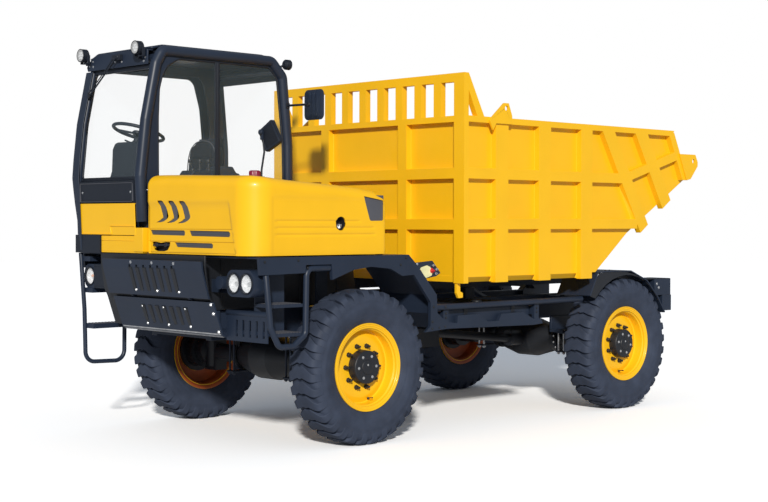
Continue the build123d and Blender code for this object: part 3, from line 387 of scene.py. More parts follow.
def bolt(bm, origin, direction, size=0.012, height=0.008, has_washer=True):
    """Hexagon head on a washer, standing at origin."""
    if has_washer:
        cap(bm, origin, direction, [(size * 1.35, 0), (size * 1.35, size * 0.2)], 16)
    cap(bm, origin, direction, [(size, 0), (size, height * 0.8), (size * 0.86, height)], 6)


def bolts(bm, places, direction, size, height):
    """Bolts at (x, y, z) places from the rear axle."""
    for place in places:
        bolt(bm, at(*place), direction, size, height)


def bar(bm, start, end, radius, count=12):
    """Round bar with slightly rounded ends between two points."""
    line = end - start
    stud(bm, start, line, [
        (radius * 0.8, 0), (radius, radius * 0.3), (radius, line.length - radius * 0.3),
        (radius * 0.8, line.length)], count)


def sweep(bm, path, radius, sides=14):
    """Round section along a path of points."""
    steps = [(b - a).normalized() for a, b in zip(path, path[1:])]
    tangents = [(a + b).normalized() for a, b in zip(steps[:1] + steps, steps + steps[-1:])]
    across, _ = across_of(tangents[0])
    rings = []
    for point, tangent in zip(path, tangents):
        across = (across - tangent * across.dot(tangent)).normalized()
        rings.append(ring(bm, point, across, tangent.cross(across), radius, sides))
    loft(bm, rings)


def pipe(name, points, radius, finish, slot="black_plastic", body="chassis", bend=0.05, sides=14):
    """Round pipe along straight runs with rounded corners, as a piece."""
    steps = 6
    path = [points[0]]
    for before, corner, after in zip(points, points[1:], points[2:]):
        into, out = (corner - before), (after - corner)
        reach = min(bend, into.length * 0.49, out.length * 0.49)
        start, end = corner - into.normalized() * reach, corner + out.normalized() * reach
        for t in (k / steps for k in range(steps + 1)):
            path.append(start * (1 - t) ** 2 + corner * 2 * t * (1 - t) + end * t ** 2)
    path.append(points[-1])
    bm = bmesh.new()
    sweep(bm, path, radius, sides)
    return add(name, bm, finish, slot, body)


# ---------------------------------------------------------------- wheels

LUGS = 32
# across the tread, outboard half: place along the axle, radius of a lug's top, radius of the groove's bed
TREAD = [
    (0.0, 0.6068, 0.58), (0.03, 0.6066, 0.58), (0.062, 0.606, 0.579), (0.094, 0.6045, 0.577),
    (0.12, 0.6015, 0.574), (0.136, 0.592, 0.566), (0.1475, 0.572, 0.552), (0.1535, 0.545, 0.534),
    (0.1562, 0.516, 0.514),
]
# across the tread: place along the axle, the groove's middle and its half width in pitches of the lugs
GROOVE = [
    (-0.157, 0.42, 0.25), (-0.136, 0.4, 0.235), (-0.1, 0.3, 0.165), (-0.062, 0.12, 0.11),
    (-0.03, -0.02, 0.09), (0.0, 0.06, 0.09), (0.03, -0.02, 0.09), (0.062, 0.1, 0.11), (0.1, 0.26, 0.165),
    (0.136, 0.36, 0.235), (0.157, 0.38, 0.25),
]
# outlines of (radius, place along the axle), outboard side at +
TYRE_SIDE = [
    (0.3455, 0.1125), (0.3565, 0.1205), (0.372, 0.1305), (0.392, 0.139), (0.398, 0.142), (0.404, 0.142),
    (0.41, 0.1455), (0.44, 0.1535), (0.466, 0.156), (0.47, 0.1567), (0.486, 0.1567), (0.49, 0.1555),
    (0.514, 0.1545), (0.534, 0.152), (0.552, 0.145), (0.566, 0.133), (0.574, 0.118), (0.577, 0.094),
    (0.579, 0.062), (0.58, 0.0),
]
RIM = [
    (0.3455, 0.113), (0.3462, 0.1185), (0.344, 0.1232), (0.3395, 0.1245), (0.3345, 0.1225), (0.3325, 0.118),
    (0.33, 0.1165), (0.3265, 0.1185), (0.3215, 0.1185), (0.317, 0.115), (0.31, 0.104), (0.2995, 0.097),
    (0.2945, 0.093), (0.2935, 0.086), (0.2935, 0.03), (0.2905, 0.018), (0.282, 0.014), (0.265, 0.0205),
    (0.248, 0.03), (0.235, 0.0335), (0.215, 0.034), (0.1335, 0.034), (0.1335, 0.0222), (0.235, 0.0222),
    (0.28, 0.003), (0.2925, 0.0), (0.2935, -0.09), (0.295, -0.096), (0.32, -0.118),
    (0.3345, -0.1225), (0.344, -0.1232), (0.3462, -0.1185), (0.3455, -0.113), (0.306, -0.1125),
    (0.3048, -0.1), (0.3048, 0.1), (0.306, 0.1125),
]
# outline of a thin shell over the rim's inner face, which carries the painted shade
RIM_SHADE_SHELL = [
    (0.192, 0.0208), (0.2345, 0.0208), (0.2795, 0.0016), (0.2918, -0.0015), (0.2922, -0.0905),
    (0.294, -0.0972), (0.3193, -0.1194), (0.3342, -0.124), (0.344, -0.1245), (0.344, -0.123),
    (0.3345, -0.1222), (0.3205, -0.1178), (0.2955, -0.0958), (0.2938, -0.09), (0.2928, 0.0004),
    (0.28, 0.0036), (0.235, 0.0228), (0.192, 0.0228),
]
HUB = [
    (0.0553, -0.034), (0.0553, -0.095), (0.15, -0.095), (0.15, 0.0), (0.19, 0.0), (0.19, 0.0218),
    (0.1325, 0.0218), (0.1325, 0.062), (0.131, 0.066), (0.131, 0.105), (0.1275, 0.1095), (0.118, 0.112),
    (0.06, 0.112), (0.056, 0.118), (0.04, 0.1225),
]
HUB_CENTRE = Vector((0, 0, 0))


def make_lug(bm, number):
    """One lug of the tread between two wandering grooves."""
    pitch = 2 * math.pi / LUGS
    rows = []
    for y, top, bed in [(-y, top, bed) for y, top, bed in reversed(TREAD[1:])] + TREAD:
        middle, half = between(GROOVE, y)
        start, end = (number + middle + half) * pitch, (number + 1 + middle - half) * pitch
        angles = [start + (end - start) * k / 3 for k in range(4)]
        crown, foot = (
            [bm.verts.new((radius * math.sin(a), place, radius * math.cos(a))) for a in angles]
            for radius, place in ((top, y), (bed - 0.004, y * 0.965)))
        rows.append([foot[0], *crown, *foot[:0:-1]])
    bridge(bm, [row[:6] for row in rows], is_closed=False)
    bm.faces.new(rows[0])
    bm.faces.new(rows[-1])


def make_tyre():
    """Tyre's body turned about the axle, with its lugs."""
    bm = bmesh.new()
    outline = TYRE_SIDE + [(radius, -place) for radius, place in reversed(TYRE_SIDE[:-1])]
    hoop(bm, HUB_CENTRE, LEFT, outline + [(0.306, -0.1125), (0.306, 0.1125)], 160)
    for number in range(LUGS):
        make_lug(bm, number)
    return bm


def make_wheel(name, x, side):
    """Tyre, rim, hub, nuts and valve of one wheel, built with the outboard side at +Y."""
    place = Matrix.Translation(at(x, side * HALF_TRACK, AXLE_Z)) @ Matrix.Diagonal((1, side, 1, 1))
    turn = Matrix.Rotation(0.07 * (x + side), 4, "Y")

    def put(kind, bm, finish, slot="hub_dark", replaced=None, **looks):
        bm.transform(place @ turn)
        piece = add(f"{kind}_{name}", bm, finish, slot, f"wheel_{name}", **looks)
        if replaced:
            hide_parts(f"{replaced}_{name}")

    put("treaded_tyre", make_tyre(), RUBBER, "tyre_rubber", "tyre", bevel=0.0035)
    # the yellow rim, then the thin shell on its inner face in painted shade
    for kind, outline, finish, replaced in (
            ("dished_rim", RIM, YELLOW, "rim"), ("rim_inner_painted_shade", RIM_SHADE_SHELL, RIM_SHADE_ORANGE, None)):
        bm = bmesh.new()
        hoop(bm, HUB_CENTRE, LEFT, outline, 96)
        put(kind, bm, finish, "machine_yellow", replaced)
    bm = bmesh.new()
    lathe(bm, HUB_CENTRE, LEFT, [(0.0, -0.034), *HUB, (0.0, 0.1235)], 64)
    put("planet_hub", bm, BLACK, replaced="hub")
    bm = bmesh.new()
    for u, v in circle(10, 0.1675, 0.5):
        foot = Vector((u, 0.0342, v))
        cap(bm, foot, LEFT, [
            (0.021, 0), (0.021, 0.004), (0.0165, 0.006), (0.0165, 0.024), (0.0145, 0.027)], 6)
        cap(bm, foot, LEFT, [(0.0095, 0.02), (0.0095, 0.044), (0.0075, 0.047)], 12)
    put("wheel_nuts", bm, BLACK, is_smooth=False)
    bm = bmesh.new()
    for u, v in circle(6, 0.092, 0.25):
        bolt(bm, Vector((u, 0.112, v)), LEFT, 0.0085, 0.007)
    bolt(bm, Vector((0.0, 0.1233, 0.02)), LEFT, 0.009, 0.0012, False)
    put("hub_bolts", bm, PALE_GREY, is_smooth=False)
    bm = bmesh.new()
    lathe(bm, Vector((0.0, 0.028, -0.268)), Vector((0, 1, 0.18)), [
        (0.009, 0), (0.009, 0.012), (0.0045, 0.016), (0.0045, 0.045), (0.006, 0.047), (0.006, 0.058),
        (0, 0.06)], 12)
    put("valve", bm, BLACK)


# ---------------------------------------------------------------- bonnet

BONNET_LEFT_Y, BONNET_RIGHT_Y, BONNET_FRONT_X, BONNET_REAR_X = 1.169, -0.169, 4.449, 3.091
BONNET_BOTTOM_Z, BONNET_EDGE, BONNET_SKIN = 1.489, 0.085, 0.009
SKIN_TOP_Z, CREASE_Z = 1.93, 1.76
# along the bonnet: x and the top's height at the right side
CREST = [(3.05, 1.958), (3.2, 2.008), (3.35, 2.028), (3.56, 2.046), (4.07, 2.076), (4.36, 2.104), (4.5, 2.1)]
STEPS = [1.684, 1.588, 1.503]
# the left side's swages: height and rear end
SWAGES = [(1.744, 3.36), (1.693, 3.21), (1.642, 3.2)]
CHEVRON = [
    (-0.009, 1.903), (0.045, 1.904), (0.066, 1.896), (0.092, 1.859), (0.112, 1.822), (0.126, 1.785),
    (0.122, 1.771), (0.101, 1.756), (0.062, 1.741), (0.02, 1.734), (-0.042, 1.733), (-0.004, 1.744),
    (0.023, 1.754), (0.047, 1.768), (0.045, 1.785), (0.033, 1.814), (0.012, 1.86), (-0.012, 1.89),
]
CHEVRONS = [[(y + 0.1425 * k, z - 0.003 * k) for y, z in CHEVRON] for k in range(3)]
SLOTS = [
    [(-0.127, 1.674), (0.322, 1.672), (0.334, 1.662), (0.334, 1.64), (0.324, 1.632), (-0.095, 1.636),
     (-0.11, 1.643)],
    [(0.388, 1.672), (0.88, 1.668), (0.896, 1.655), (0.896, 1.636), (0.886, 1.626), (0.42, 1.63),
     (0.405, 1.638)],
    [(0.19, 1.58), (0.665, 1.577), (0.68, 1.566), (0.68, 1.548), (0.67, 1.539), (0.228, 1.543),
     (0.212, 1.55)],
]
LATCH = [
    (-0.112, 1.58), (-0.06, 1.582), (0.01, 1.574), (0.08, 1.582), (0.134, 1.58), (0.128, 1.552),
    (0.1, 1.518), (0.052, 1.508), (-0.04, 1.508), (-0.085, 1.52), (-0.106, 1.552),
]
SIDE_VENT = [
    (3.337, 1.94), (3.136, 1.91), (3.122, 1.9), (3.122, 1.76), (3.132, 1.75), (3.262, 1.748),
    (3.274, 1.758),
]
OUTLET_X, OUTLET_Z, OUTLET_RADIUS = 3.574, 1.727, 0.052


def top_z(x, y):
    """Height of the bonnet's top, which lies a little lower towards the left side."""
    return between(CREST, x)[0] - 0.024 * smooth(y, -0.1, 1.1)


def bonnet_plan(inset):
    """Plan moved in by inset: (x, y, outward x, outward y) from the rear left corner round the front."""
    x0, x1 = BONNET_REAR_X + inset, BONNET_FRONT_X - inset
    y0, y1 = BONNET_RIGHT_Y + inset, BONNET_LEFT_Y - inset
    corners = [
        # x, y, radius, start angle, steps on the arc, steps on the run after it
        (x0, y1, 0.04, 180, 6, 110), (x1, y1, 0.2, 90, 16, 90), (x1, y0, 0.05, 0, 6, 36),
        (x0, y0, 0.03, -90, 4, 26),
    ]
    arcs = []
    for x, y, radius, start, count, _ in corners:
        radius = max(0.004, radius - inset)
        cx = x + radius if x == x0 else x - radius
        cy = y + radius if y == y0 else y - radius
        turns = [math.radians(start - 90 * k / count) for k in range(count + 1)]
        normals = [(math.cos(a), math.sin(a)) for a in turns]
        arcs.append([(cx + radius * u, cy + radius * v, u, v) for u, v in normals])
    points = []
    for arc, after, (*_, run) in zip(arcs, arcs[1:] + arcs[:1], corners):
        points += arc
        (ax, ay, nx, ny), (bx, by, _, _) = arc[-1], after[0]
        points += [(ax + (bx - ax) * k / run, ay + (by - ay) * k / run, nx, ny) for k in range(1, run)]
    return points


def pressed(x, y, z, nx, ny):
    """How far the skin is pressed in: relief and steps of the front, panel and swages of the left side."""
    depth = 0.0
    if nx > 0.7:
        edge = 0.905 + (1.88 - z) * 0.2
        shape = (1 - smooth(y, edge - 0.02, edge)) * (1 - smooth(z, 1.85, 1.9))
        depth += shape * (0.012 + 0.006 * sum(z < step - 0.0005 for step in STEPS))
    if ny > 0.9:
        depth += 0.004 * (1 - smooth(x, 4.235, 4.27)) * (1 - smooth(z, 1.9, 1.94))
        for swage_z, rear in SWAGES:
            ends = smooth(x, rear, rear + 0.03) * (1 - smooth(x, 4.19, 4.235))
            depth += 0.0055 * math.exp(-((z - swage_z) / 0.0085) ** 2) * ends
    return depth


def bonnet_skin():
    """Skin in rows up its sides, over the rounded edge and in to the middle of the top."""
    levels = sorted(
        [BONNET_BOTTOM_Z + 0.02 * k for k in range(25)] + [1.61 + 0.0042 * k for k in range(40)]
        + [z for step in STEPS for z in (step, step - 0.001)] + [1.85 + 0.01 * k for k in range(6)])
    bm = bmesh.new()
    rings = []
    for level in (z for z in levels if z < SKIN_TOP_Z):
        share = (level - BONNET_BOTTOM_Z) / (SKIN_TOP_Z - BONNET_BOTTOM_Z)
        row = []
        for x, y, nx, ny in bonnet_plan(0):
            high = BONNET_BOTTOM_Z + (top_z(x, y) - BONNET_EDGE - BONNET_BOTTOM_Z) * share
            z = level + (high - level) * smooth(level, CREASE_Z, SKIN_TOP_Z)
            depth = pressed(x, y, z, nx, ny)
            row.append(bm.verts.new(at(x - nx * depth, y - ny * depth, z)))
        rings.append(row)
    edge_turns = [math.pi / 2 * k / 9 for k in range(1, 10)]
    rows = [(BONNET_EDGE * (1 - math.cos(a)), -BONNET_EDGE * (1 - math.sin(a))) for a in edge_turns]
    rows += [(BONNET_EDGE + (0.664 - BONNET_EDGE) * k / 11, 0.012 * k / 11) for k in range(1, 12)]
    for inset, rise in rows:
        rings.append([bm.verts.new(at(x, y, top_z(x, y) + rise)) for x, y, _, _ in bonnet_plan(inset)])
    bridge(bm, rings)
    bm.faces.new(rings[-1])
    bmesh.ops.remove_doubles(bm, verts=rings[-1], dist=0.0105)
    return bm


def make_bonnet():
    """Pressed skin with its openings, the grilles behind them, the latch and the outlet."""
    skin = add("bonnet_skin", bonnet_skin(), YELLOW, "machine_yellow", "bonnet")
    thicken(skin, BONNET_SKIN)
    outlet = [(OUTLET_X + u, OUTLET_Z + v * 1.03) for u, v in circle(28, OUTLET_RADIUS)]
    holes = [(outline, "x", 4.36, 4.5) for outline in CHEVRONS + SLOTS + [LATCH]]
    holes += [(outline, "y", 1.08, 1.2) for outline in (SIDE_VENT, outlet)]
    carve(skin, [plate(f"cutter_{k}", *hole, YELLOW) for k, hole in enumerate(holes)])
    skin.data.set_sharp_from_angle(angle=math.radians(38))
    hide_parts("bonnet")

    bm = bmesh.new()
    for outline in CHEVRONS:
        block(bm, (4.408, 4.4305), *limits(outline, 0.004))
    for outline, x in zip(SLOTS, (4.4215, 4.4215, 4.4155)):
        block(bm, (x - 0.006, x), *limits(outline, 0.006))
        y, (low, _) = limits(outline)
        for z in (low + 0.006 + 0.013 * k for k in range(3)):
            block(bm, (x, x + 0.004), y, (z, z + 0.004))
    blocks(bm, (3.115, 3.345, 1.14, 1.153, 1.742, 1.948))
    add("bonnet_grilles", bm, GRILLE, body="bonnet", is_smooth=False)
    bm = bmesh.new()
    blocks(bm, (4.375, 4.38, -0.125, 0.145, 1.5, 1.59), (4.385, 4.425, -0.1, 0.115, 1.548, 1.566))
    for y in (-0.055, 0.07):
        stud(bm, at(4.425, y, 1.556), AHEAD, [(0.02, -0.05), (0.02, 0.0), (0.015, 0.004)])
    add("bonnet_latch", bm, PLASTIC, body="bonnet", bevel=0.002)
    bm = bmesh.new()
    mouth = at(OUTLET_X, 1.1, OUTLET_Z)
    hoop(bm, mouth, LEFT, [(0.05, 0.0), (0.05, 0.052), (0.046, 0.052), (0.044, 0.004), (0.04, 0.0)], 32)
    cap(bm, mouth, LEFT, [(0.046, 0.0), (0.046, 0.005)], 32)
    add("bonnet_outlet", bm, BLACK, body="bonnet")
    bm = bmesh.new()
    cap(bm, mouth + Vector((-0.006, 0.012, -0.022)), Vector((0.1, 1, 0)), [
        (0.02, 0), (0.02, 0.03), (0.015, 0.032), (0.015, 0.01)])
    add("bonnet_outlet_pipe", bm, STEEL, "hub_dark", "bonnet")


FILLER_X, FILLER_Y, CAP_RIBS = 3.804, 0.4, 24
MIRROR_CORNERS = [(0.265, 2.464), (0.435, 2.558), (0.553, 2.374), (0.367, 2.292)]
MIRROR_CENTRE = (0.405, 2.422)


def make_filler():
    """Fuel filler on the bonnet: its base and strap, and the ribbed cap."""
    bm = bmesh.new()
    cap_base = [(0.052, 0), (0.052, 0.01), (0.047, 0.014), (0.047, 0.02)]
    stud(bm, at(FILLER_X, FILLER_Y, 2.052), UP, cap_base, 40)
    blocks(bm, (3.64, 3.725, 0.375, 0.425, 2.05, 2.06))
    bolts(bm, [(3.655, FILLER_Y, 2.06), (3.69, FILLER_Y, 2.06)], UP, 0.008, 0.006)
    add("bonnet_filler_base", bm, PLASTIC, body="bonnet", bevel=0.0015)
    bm = bmesh.new()
    rings = []
    for z, radius in ((2.072, 0.046), (2.134, 0.046), (2.141, 0.042), (2.145, 0.034)):
        notch = 0.0025 if z < 2.136 else 0.0
        loop = []
        for k, (u, v) in enumerate(circle(CAP_RIBS * 4, 1)):
            size = radius - notch * (k % 4 < 2)
            loop.append(bm.verts.new(at(FILLER_X + u * size, FILLER_Y + v * size, z)))
        rings.append(loop)
    loft(bm, rings)
    add("bonnet_filler_cap", bm, MAROON, body="bonnet")


def make_bonnet_mirror():
    """Mirror's inner frame, its swivel on the stalk, and the glass that looks back."""
    def shrunk(share):
        (cy, cz) = MIRROR_CENTRE
        return [(cy + (y - cy) * share, cz + (z - cz) * share) for y, z in MIRROR_CORNERS]

    bm = bmesh.new()
    outer, inner = shrunk(0.9), shrunk(0.8)
    for k in range(4):
        n = (k + 1) % 4
        prism(bm, [outer[k], outer[n], inner[n], inner[k]], "x", 3.6615, 3.6655)
    bar(bm, at(3.663, 0.328, 2.455), at(3.692, 0.328, 2.455), 0.017, 20)
    lathe(bm, at(3.69, 0.328, 2.455), AHEAD, [
        (0.0, -0.008), (0.023, -0.008), (0.023, 0.004), (0.016, 0.01), (0, 0.011)], 24)
    blocks(bm, (3.668, 3.684, 0.316, 0.344, 2.395, 2.455))
    add("bonnet_mirror_bracket", bm, DARK, body="bonnet", bevel=0.002)
    plate("bonnet_mirror_glass", shrunk(0.84), "x", 3.6345, 3.637, MIRROR, slot="bright_rod", body="bonnet",
          bevel=0.001)


# ---------------------------------------------------------------- nose plates and lamps

# how far the plates' faces run back for each unit that they fall
UPPER_RAKE, LOWER_RAKE = Vector((1, 0, -0.28)), Vector((1, 0, -0.35))
LOUVRE_PITCH, LOUVRES = 0.095, range(-3, 4)


def make_nose():
    """Bolts, screens, black louvres that also paint the shade of wide slots, a black wall behind them as
    painted shade for the gaps between the plates, and the pale grey lip of the nose plates.
    """
    bm = bmesh.new()
    for y in (-0.262, 0.027, 0.315):
        bolts(bm, [(4.5262, y, 1.42)], Vector((1, 0, -0.139)), 0.0095, 0.0027)
        bolts(bm, [(4.4718, y, 1.2)], UPPER_RAKE, 0.0095, 0.008)
        bolts(bm, [(4.397, y - 0.022, 1.068), (4.3472, y - 0.022, 0.928)], LOWER_RAKE, 0.0095, 0.008)
    for z in (1.115, 1.045, 0.905):
        bolts(bm, [(4.401 - (1.08 - z) * 0.354, 0.64, z)], LOWER_RAKE, 0.0115, 0.01)
    add("nose_bolts", bm, STEEL, "chassis_dark", is_smooth=False)
    bm = bmesh.new()
    for low, high, z0, z1 in ((4.448, 4.508, 1.185, 1.41), (4.322, 4.378, 0.925, 1.09)):
        prism(bm, [(low, z0), (high, z1), (high - 0.006, z1), (low - 0.006, z0)], "y", -0.325, 0.325)
        slat = [(low + 0.002, z0), (high + 0.002, z1), (high + 0.016, z1 - 0.004), (low + 0.016, z0 + 0.012)]
        for y in (k * LOUVRE_PITCH + edge for k in LOUVRES for edge in (-0.016, 0.0135)):
            prism(bm, slat, "y", y, y + 0.0025)
    add("nose_screens", bm, BLACK, "chassis_dark", is_smooth=False)
    # black ridges over the slots and wider than them: real raised ridges, whose black also paints the shade
    # of wide slots
    bm = bmesh.new()
    for low, high, z0, z1, shift in (
        (4.469, 4.5228, 1.19, 1.382, 0.012), (4.3486, 4.4017, 0.932, 1.082, 0.01),
    ):
        for y in (k * LOUVRE_PITCH + shift for k in LOUVRES):
            for start, end, out in ((-0.028, -0.02, 0.002), (-0.02, 0.018, 0.0055), (0.018, 0.027, 0.002)):
                prism(bm, [
                    (low - 0.003, z0), (low + out, z0 + 0.01), (high + out, z1 - 0.004), (high - 0.003, z1),
                ], "y", y + start, y + end)
    add("nose_louvres", bm, BLACK, "chassis_dark", bevel=0.002)
    # black wall behind the plates: painted shade that fills the gaps between them
    bm = bmesh.new()
    prism(bm, [
        (4.3, 0.9), (4.316, 0.9), (4.394, 1.13), (4.424, 1.19), (4.456, 1.39), (4.456, 1.483),
        (4.44, 1.483), (4.44, 1.39), (4.408, 1.19), (4.378, 1.13)], "y", -0.8, 0.62)
    add("nose_shade_backing", bm, BLACK, "chassis_dark", bevel=0.003)
    # pale grey strip along the lower plate's bottom lip
    plate("nose_lip", [
        (4.3335, 0.884), (4.3365, 0.892), (4.3335, 0.8935), (4.302, 0.8645), (4.3, 0.865), (4.301, 0.8625),
    ], "y", -0.655, 0.655, PALE_GREY, slot="chassis_dark")


LAMP_X, LAMP_Z = 4.372, 1.285


def make_headlamps():
    """Two round lamps in each pod; the right pod's inner one hides behind a dark cover."""
    for tag, side in SIDES:
        glass, bowl, bezel, bulb = (bmesh.new() for _ in range(4))
        for y in (side * 0.9, side * 1.05):
            centre = at(LAMP_X, y, LAMP_Z)
            lathe(glass, centre, AHEAD, [
                (0.067, 0.018), (0.0655, 0.024), (0.055, 0.031), (0.035, 0.0355), (0.0, 0.037)], 36)
            lathe(bowl, centre, AHEAD, [
                (0.0665, 0.018), (0.06, 0.006), (0.045, -0.012), (0.025, -0.022), (0.0, -0.024)], 36)
            hoop(bezel, centre, AHEAD, [
                (0.0675, 0.012), (0.0785, 0.012), (0.08, 0.03), (0.077, 0.038), (0.07, 0.038),
                (0.0675, 0.03)])
            lathe(bulb, centre, AHEAD, [(0.013, -0.022), (0.013, 0.004), (0.009, 0.012), (0, 0.014)], 16)
            for offset in (-0.048 + 0.016 * k for k in range(7)):
                half = math.sqrt(0.06 ** 2 - offset ** 2) * 0.8
                block(glass, (LAMP_X + 0.0215, LAMP_X + 0.0245), (y + offset - 0.0012, y + offset + 0.0012),
                      (LAMP_Z - half, LAMP_Z + half))
        if side < 0:
            cover = bmesh.new()
            blocks(cover, (4.3755, 4.4135, -0.973, -0.79, 1.187, 1.383),
                   (4.405, 4.4165, -0.955, -0.81, 1.205, 1.365))
            corners = [(4.4135, y, z) for y in (-0.96, -0.8) for z in (1.197, 1.373)]
            bolts(cover, corners, AHEAD, 0.006, 0.004)
            add("headlamp_cover", cover, PLASTIC, bevel=0.004)
        piece = add(f"headlamp_glass_{tag}", glass, LENS, "lamp_lens")
        if side > 0:
            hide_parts("headlamps")
        add(f"headlamp_bowls_{tag}", bowl, WHITE, "lamp_lens")
        add(f"headlamp_bezels_{tag}", bezel, PLASTIC)
        add(f"headlamp_bulbs_{tag}", bulb, AMBER if side < 0 else STEEL, "lamp_lens")


# ---------------------------------------------------------------- cab

# windscreen's outer face: height and place along X
SCREEN_LINE = [(2.078, 4.45), (2.55, 4.4), (2.99, 4.308)]
CAB_RIGHT, CAB_LEFT, LEFT_PANE_Y = -1.0897, -0.2703, -0.225
LEFT_WINDOW = [
    (2.991, 1.995), (2.999, 2.396), (3.064, 2.96), (3.154, 3.056), (4.09, 3.054), (4.205, 2.99),
    (4.254, 2.904), (4.283, 2.8), (4.294, 2.565), (4.293, 2.144), (4.29, 1.995),
]
ROOF_REAR, ROOF_FRONT, ROOF_RIGHT, ROOF_LEFT, ROOF_TOP = 3.112, 4.318, -1.166, -0.277, 3.163
# corner rail: height and place of its front face, and the heights of its sections
RAIL_LINE = [
    (1.5, 4.474), (1.63, 4.48), (1.89, 4.493), (2.1, 4.497), (2.55, 4.446), (2.99, 4.352), (3.03, 4.34)]
RAIL_LEVELS = [1.5, 1.63, 1.75, 1.89, 2.0, 2.1, 2.25, 2.4, 2.55, 2.7, 2.85, 2.99]


def screen_x(z):
    """Place along X of the windscreen's outer face at a height."""
    return between(SCREEN_LINE, z)[0]


def roof_z(x, y):
    """Height of the roof's panel: its turned-down ends and its four pressed ribs."""
    z = ROOF_TOP - 0.034 * smooth(-y, 1.03, 1.166) - 0.022 * smooth(x, 4.2, ROOF_FRONT)
    z -= 0.016 * smooth(-x, -3.2, -ROOF_REAR)
    inside = smooth(x, 3.18, 3.21) * (1 - smooth(x, 4.17, 4.2))
    for rib_y in (-0.45, -0.62, -0.79, -0.96):
        z += 0.006 * inside * (1 - smooth(abs(y - rib_y), 0.018, 0.032))
    return z


def make_roof():
    """Pressed roof panel with its ends turned down, the fascia in front and the lining under it."""
    xs = [ROOF_REAR + (ROOF_FRONT - ROOF_REAR) * k / 48 for k in range(49)]
    ys = [ROOF_RIGHT + (ROOF_LEFT - ROOF_RIGHT) * k / 36 for k in range(37)]
    bm = bmesh.new()
    bridge(bm, [[bm.verts.new(at(x, y, roof_z(x, y))) for y in ys] for x in xs], is_closed=False)
    panel = add("roof_panel", bm, DARK, "chassis_dark")
    thicken(panel, 0.02)
    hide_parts("cab_roof")

    bm = bmesh.new()
    prism(bm, [
        (-1.15, 2.996), (-1.165, 3.03), (-1.135, 3.068), (-1.066, 3.1), (-0.955, 3.128), (-0.772, 3.122),
        (-0.272, 3.114), (-0.272, 2.996)], "x", 4.3445, 4.356)
    prism(bm, [(-0.955, 3.12), (-0.955, 3.128), (-0.272, 3.114), (-0.272, 3.106)], "x", 4.3, 4.35)
    add("roof_fascia", bm, DARK, "chassis_dark", bevel=0.003)
    bm = bmesh.new()
    bolts(bm, [(4.356, y, z) for y, z in (
        (-1.118, 3.04), (-1.07, 3.072), (-1.066, 3.03), (-0.69, 3.092), (-0.69, 3.066), (-0.735, 3.048),
        (-0.64, 3.04), (-0.345, 3.092), (-0.305, 3.052), (-0.325, 3.022))], AHEAD, 0.0075, 0.006)
    add("roof_bolts", bm, STEEL, "bright_rod", is_smooth=False)

    bm = bmesh.new()
    blocks(bm, (3.03, 4.27, -1.095, -0.268, 3.098, 3.112), (3.03, 4.26, -1.092, -1.08, 3.02, 3.104),
           (3.014, 3.034, -1.09, -0.272, 2.95, 3.112), (4.25, 4.276, -1.09, -0.272, 3.0, 3.104))
    prism(bm, [
        (2.958, 1.995), (3.128, 1.995), (3.13, 2.3), (3.141, 2.6), (3.165, 2.8), (3.212, 2.97),
        (3.262, 3.022), (3.262, 3.104), (3.14, 3.104), (3.04, 3.0), (2.968, 2.4)], "y", -1.094, -1.08)
    add("roof_lining", bm, PLASTIC, bevel=0.003)
    bm = bmesh.new()
    blocks(bm, (3.62, 3.8, -0.74, -0.62, 3.088, 3.1))
    add("roof_light", bm, LENS, "lamp_lens", bevel=0.004)


def make_window_trim():
    """Seals round the panes, the side window's front frame and its bar, and the windscreen's header."""
    low, middle, high = ((z, screen_x(z) + 0.004) for z in (2.09, 2.55, 2.982))
    right, left = CAB_RIGHT + 0.012, CAB_LEFT - 0.012
    centre = (right + left) / 2
    screen = [
        (centre, high), (right, high), (right, middle), (right, low), (left, low), (left, middle),
        (left, high), (centre, high)]
    rear = [
        (2.998, right, 2.962), (2.945, right, 2.4), (2.94, right, 2.002), (2.94, left, 2.002),
        (2.945, left, 2.4), (2.998, left, 2.962), (2.998, right, 2.962)]
    for name, points, radius in (
        ("seal_left_window", [(x, LEFT_PANE_Y, z) for x, z in LEFT_WINDOW], 0.011),
        ("seal_windscreen", [(x, y, z) for y, (z, x) in screen], 0.009), ("seal_rear_window", rear, 0.009),
    ):
        pipe(name, [at(*point) for point in points], radius, PLASTIC, bend=0.03)

    plate("window_frame_left", LEFT_WINDOW[4:] + [
        (4.44, 1.995), (4.446, 2.1), (4.392, 2.55), (4.3, 2.99), (4.236, 3.09), (4.09, 3.09),
    ], "y", -0.234, -0.216, DARK, slot="chassis_dark", bevel=0.003)
    bm = bmesh.new()
    blocks(bm, (3.682, 3.724, -0.237, -0.213, 2.0, 3.052), (3.698, 3.708, -0.241, -0.209, 2.0, 3.05))
    add("window_bar", bm, PLASTIC, bevel=0.003)
    bm = bmesh.new()
    right, left = CAB_RIGHT + 0.004, CAB_LEFT - 0.004
    blocks(bm, (4.296, 4.33, right, left, 2.962, 2.998), (4.44, 4.464, right, left, 2.072, 2.084))
    add("screen_header", bm, PLASTIC, bevel=0.004)


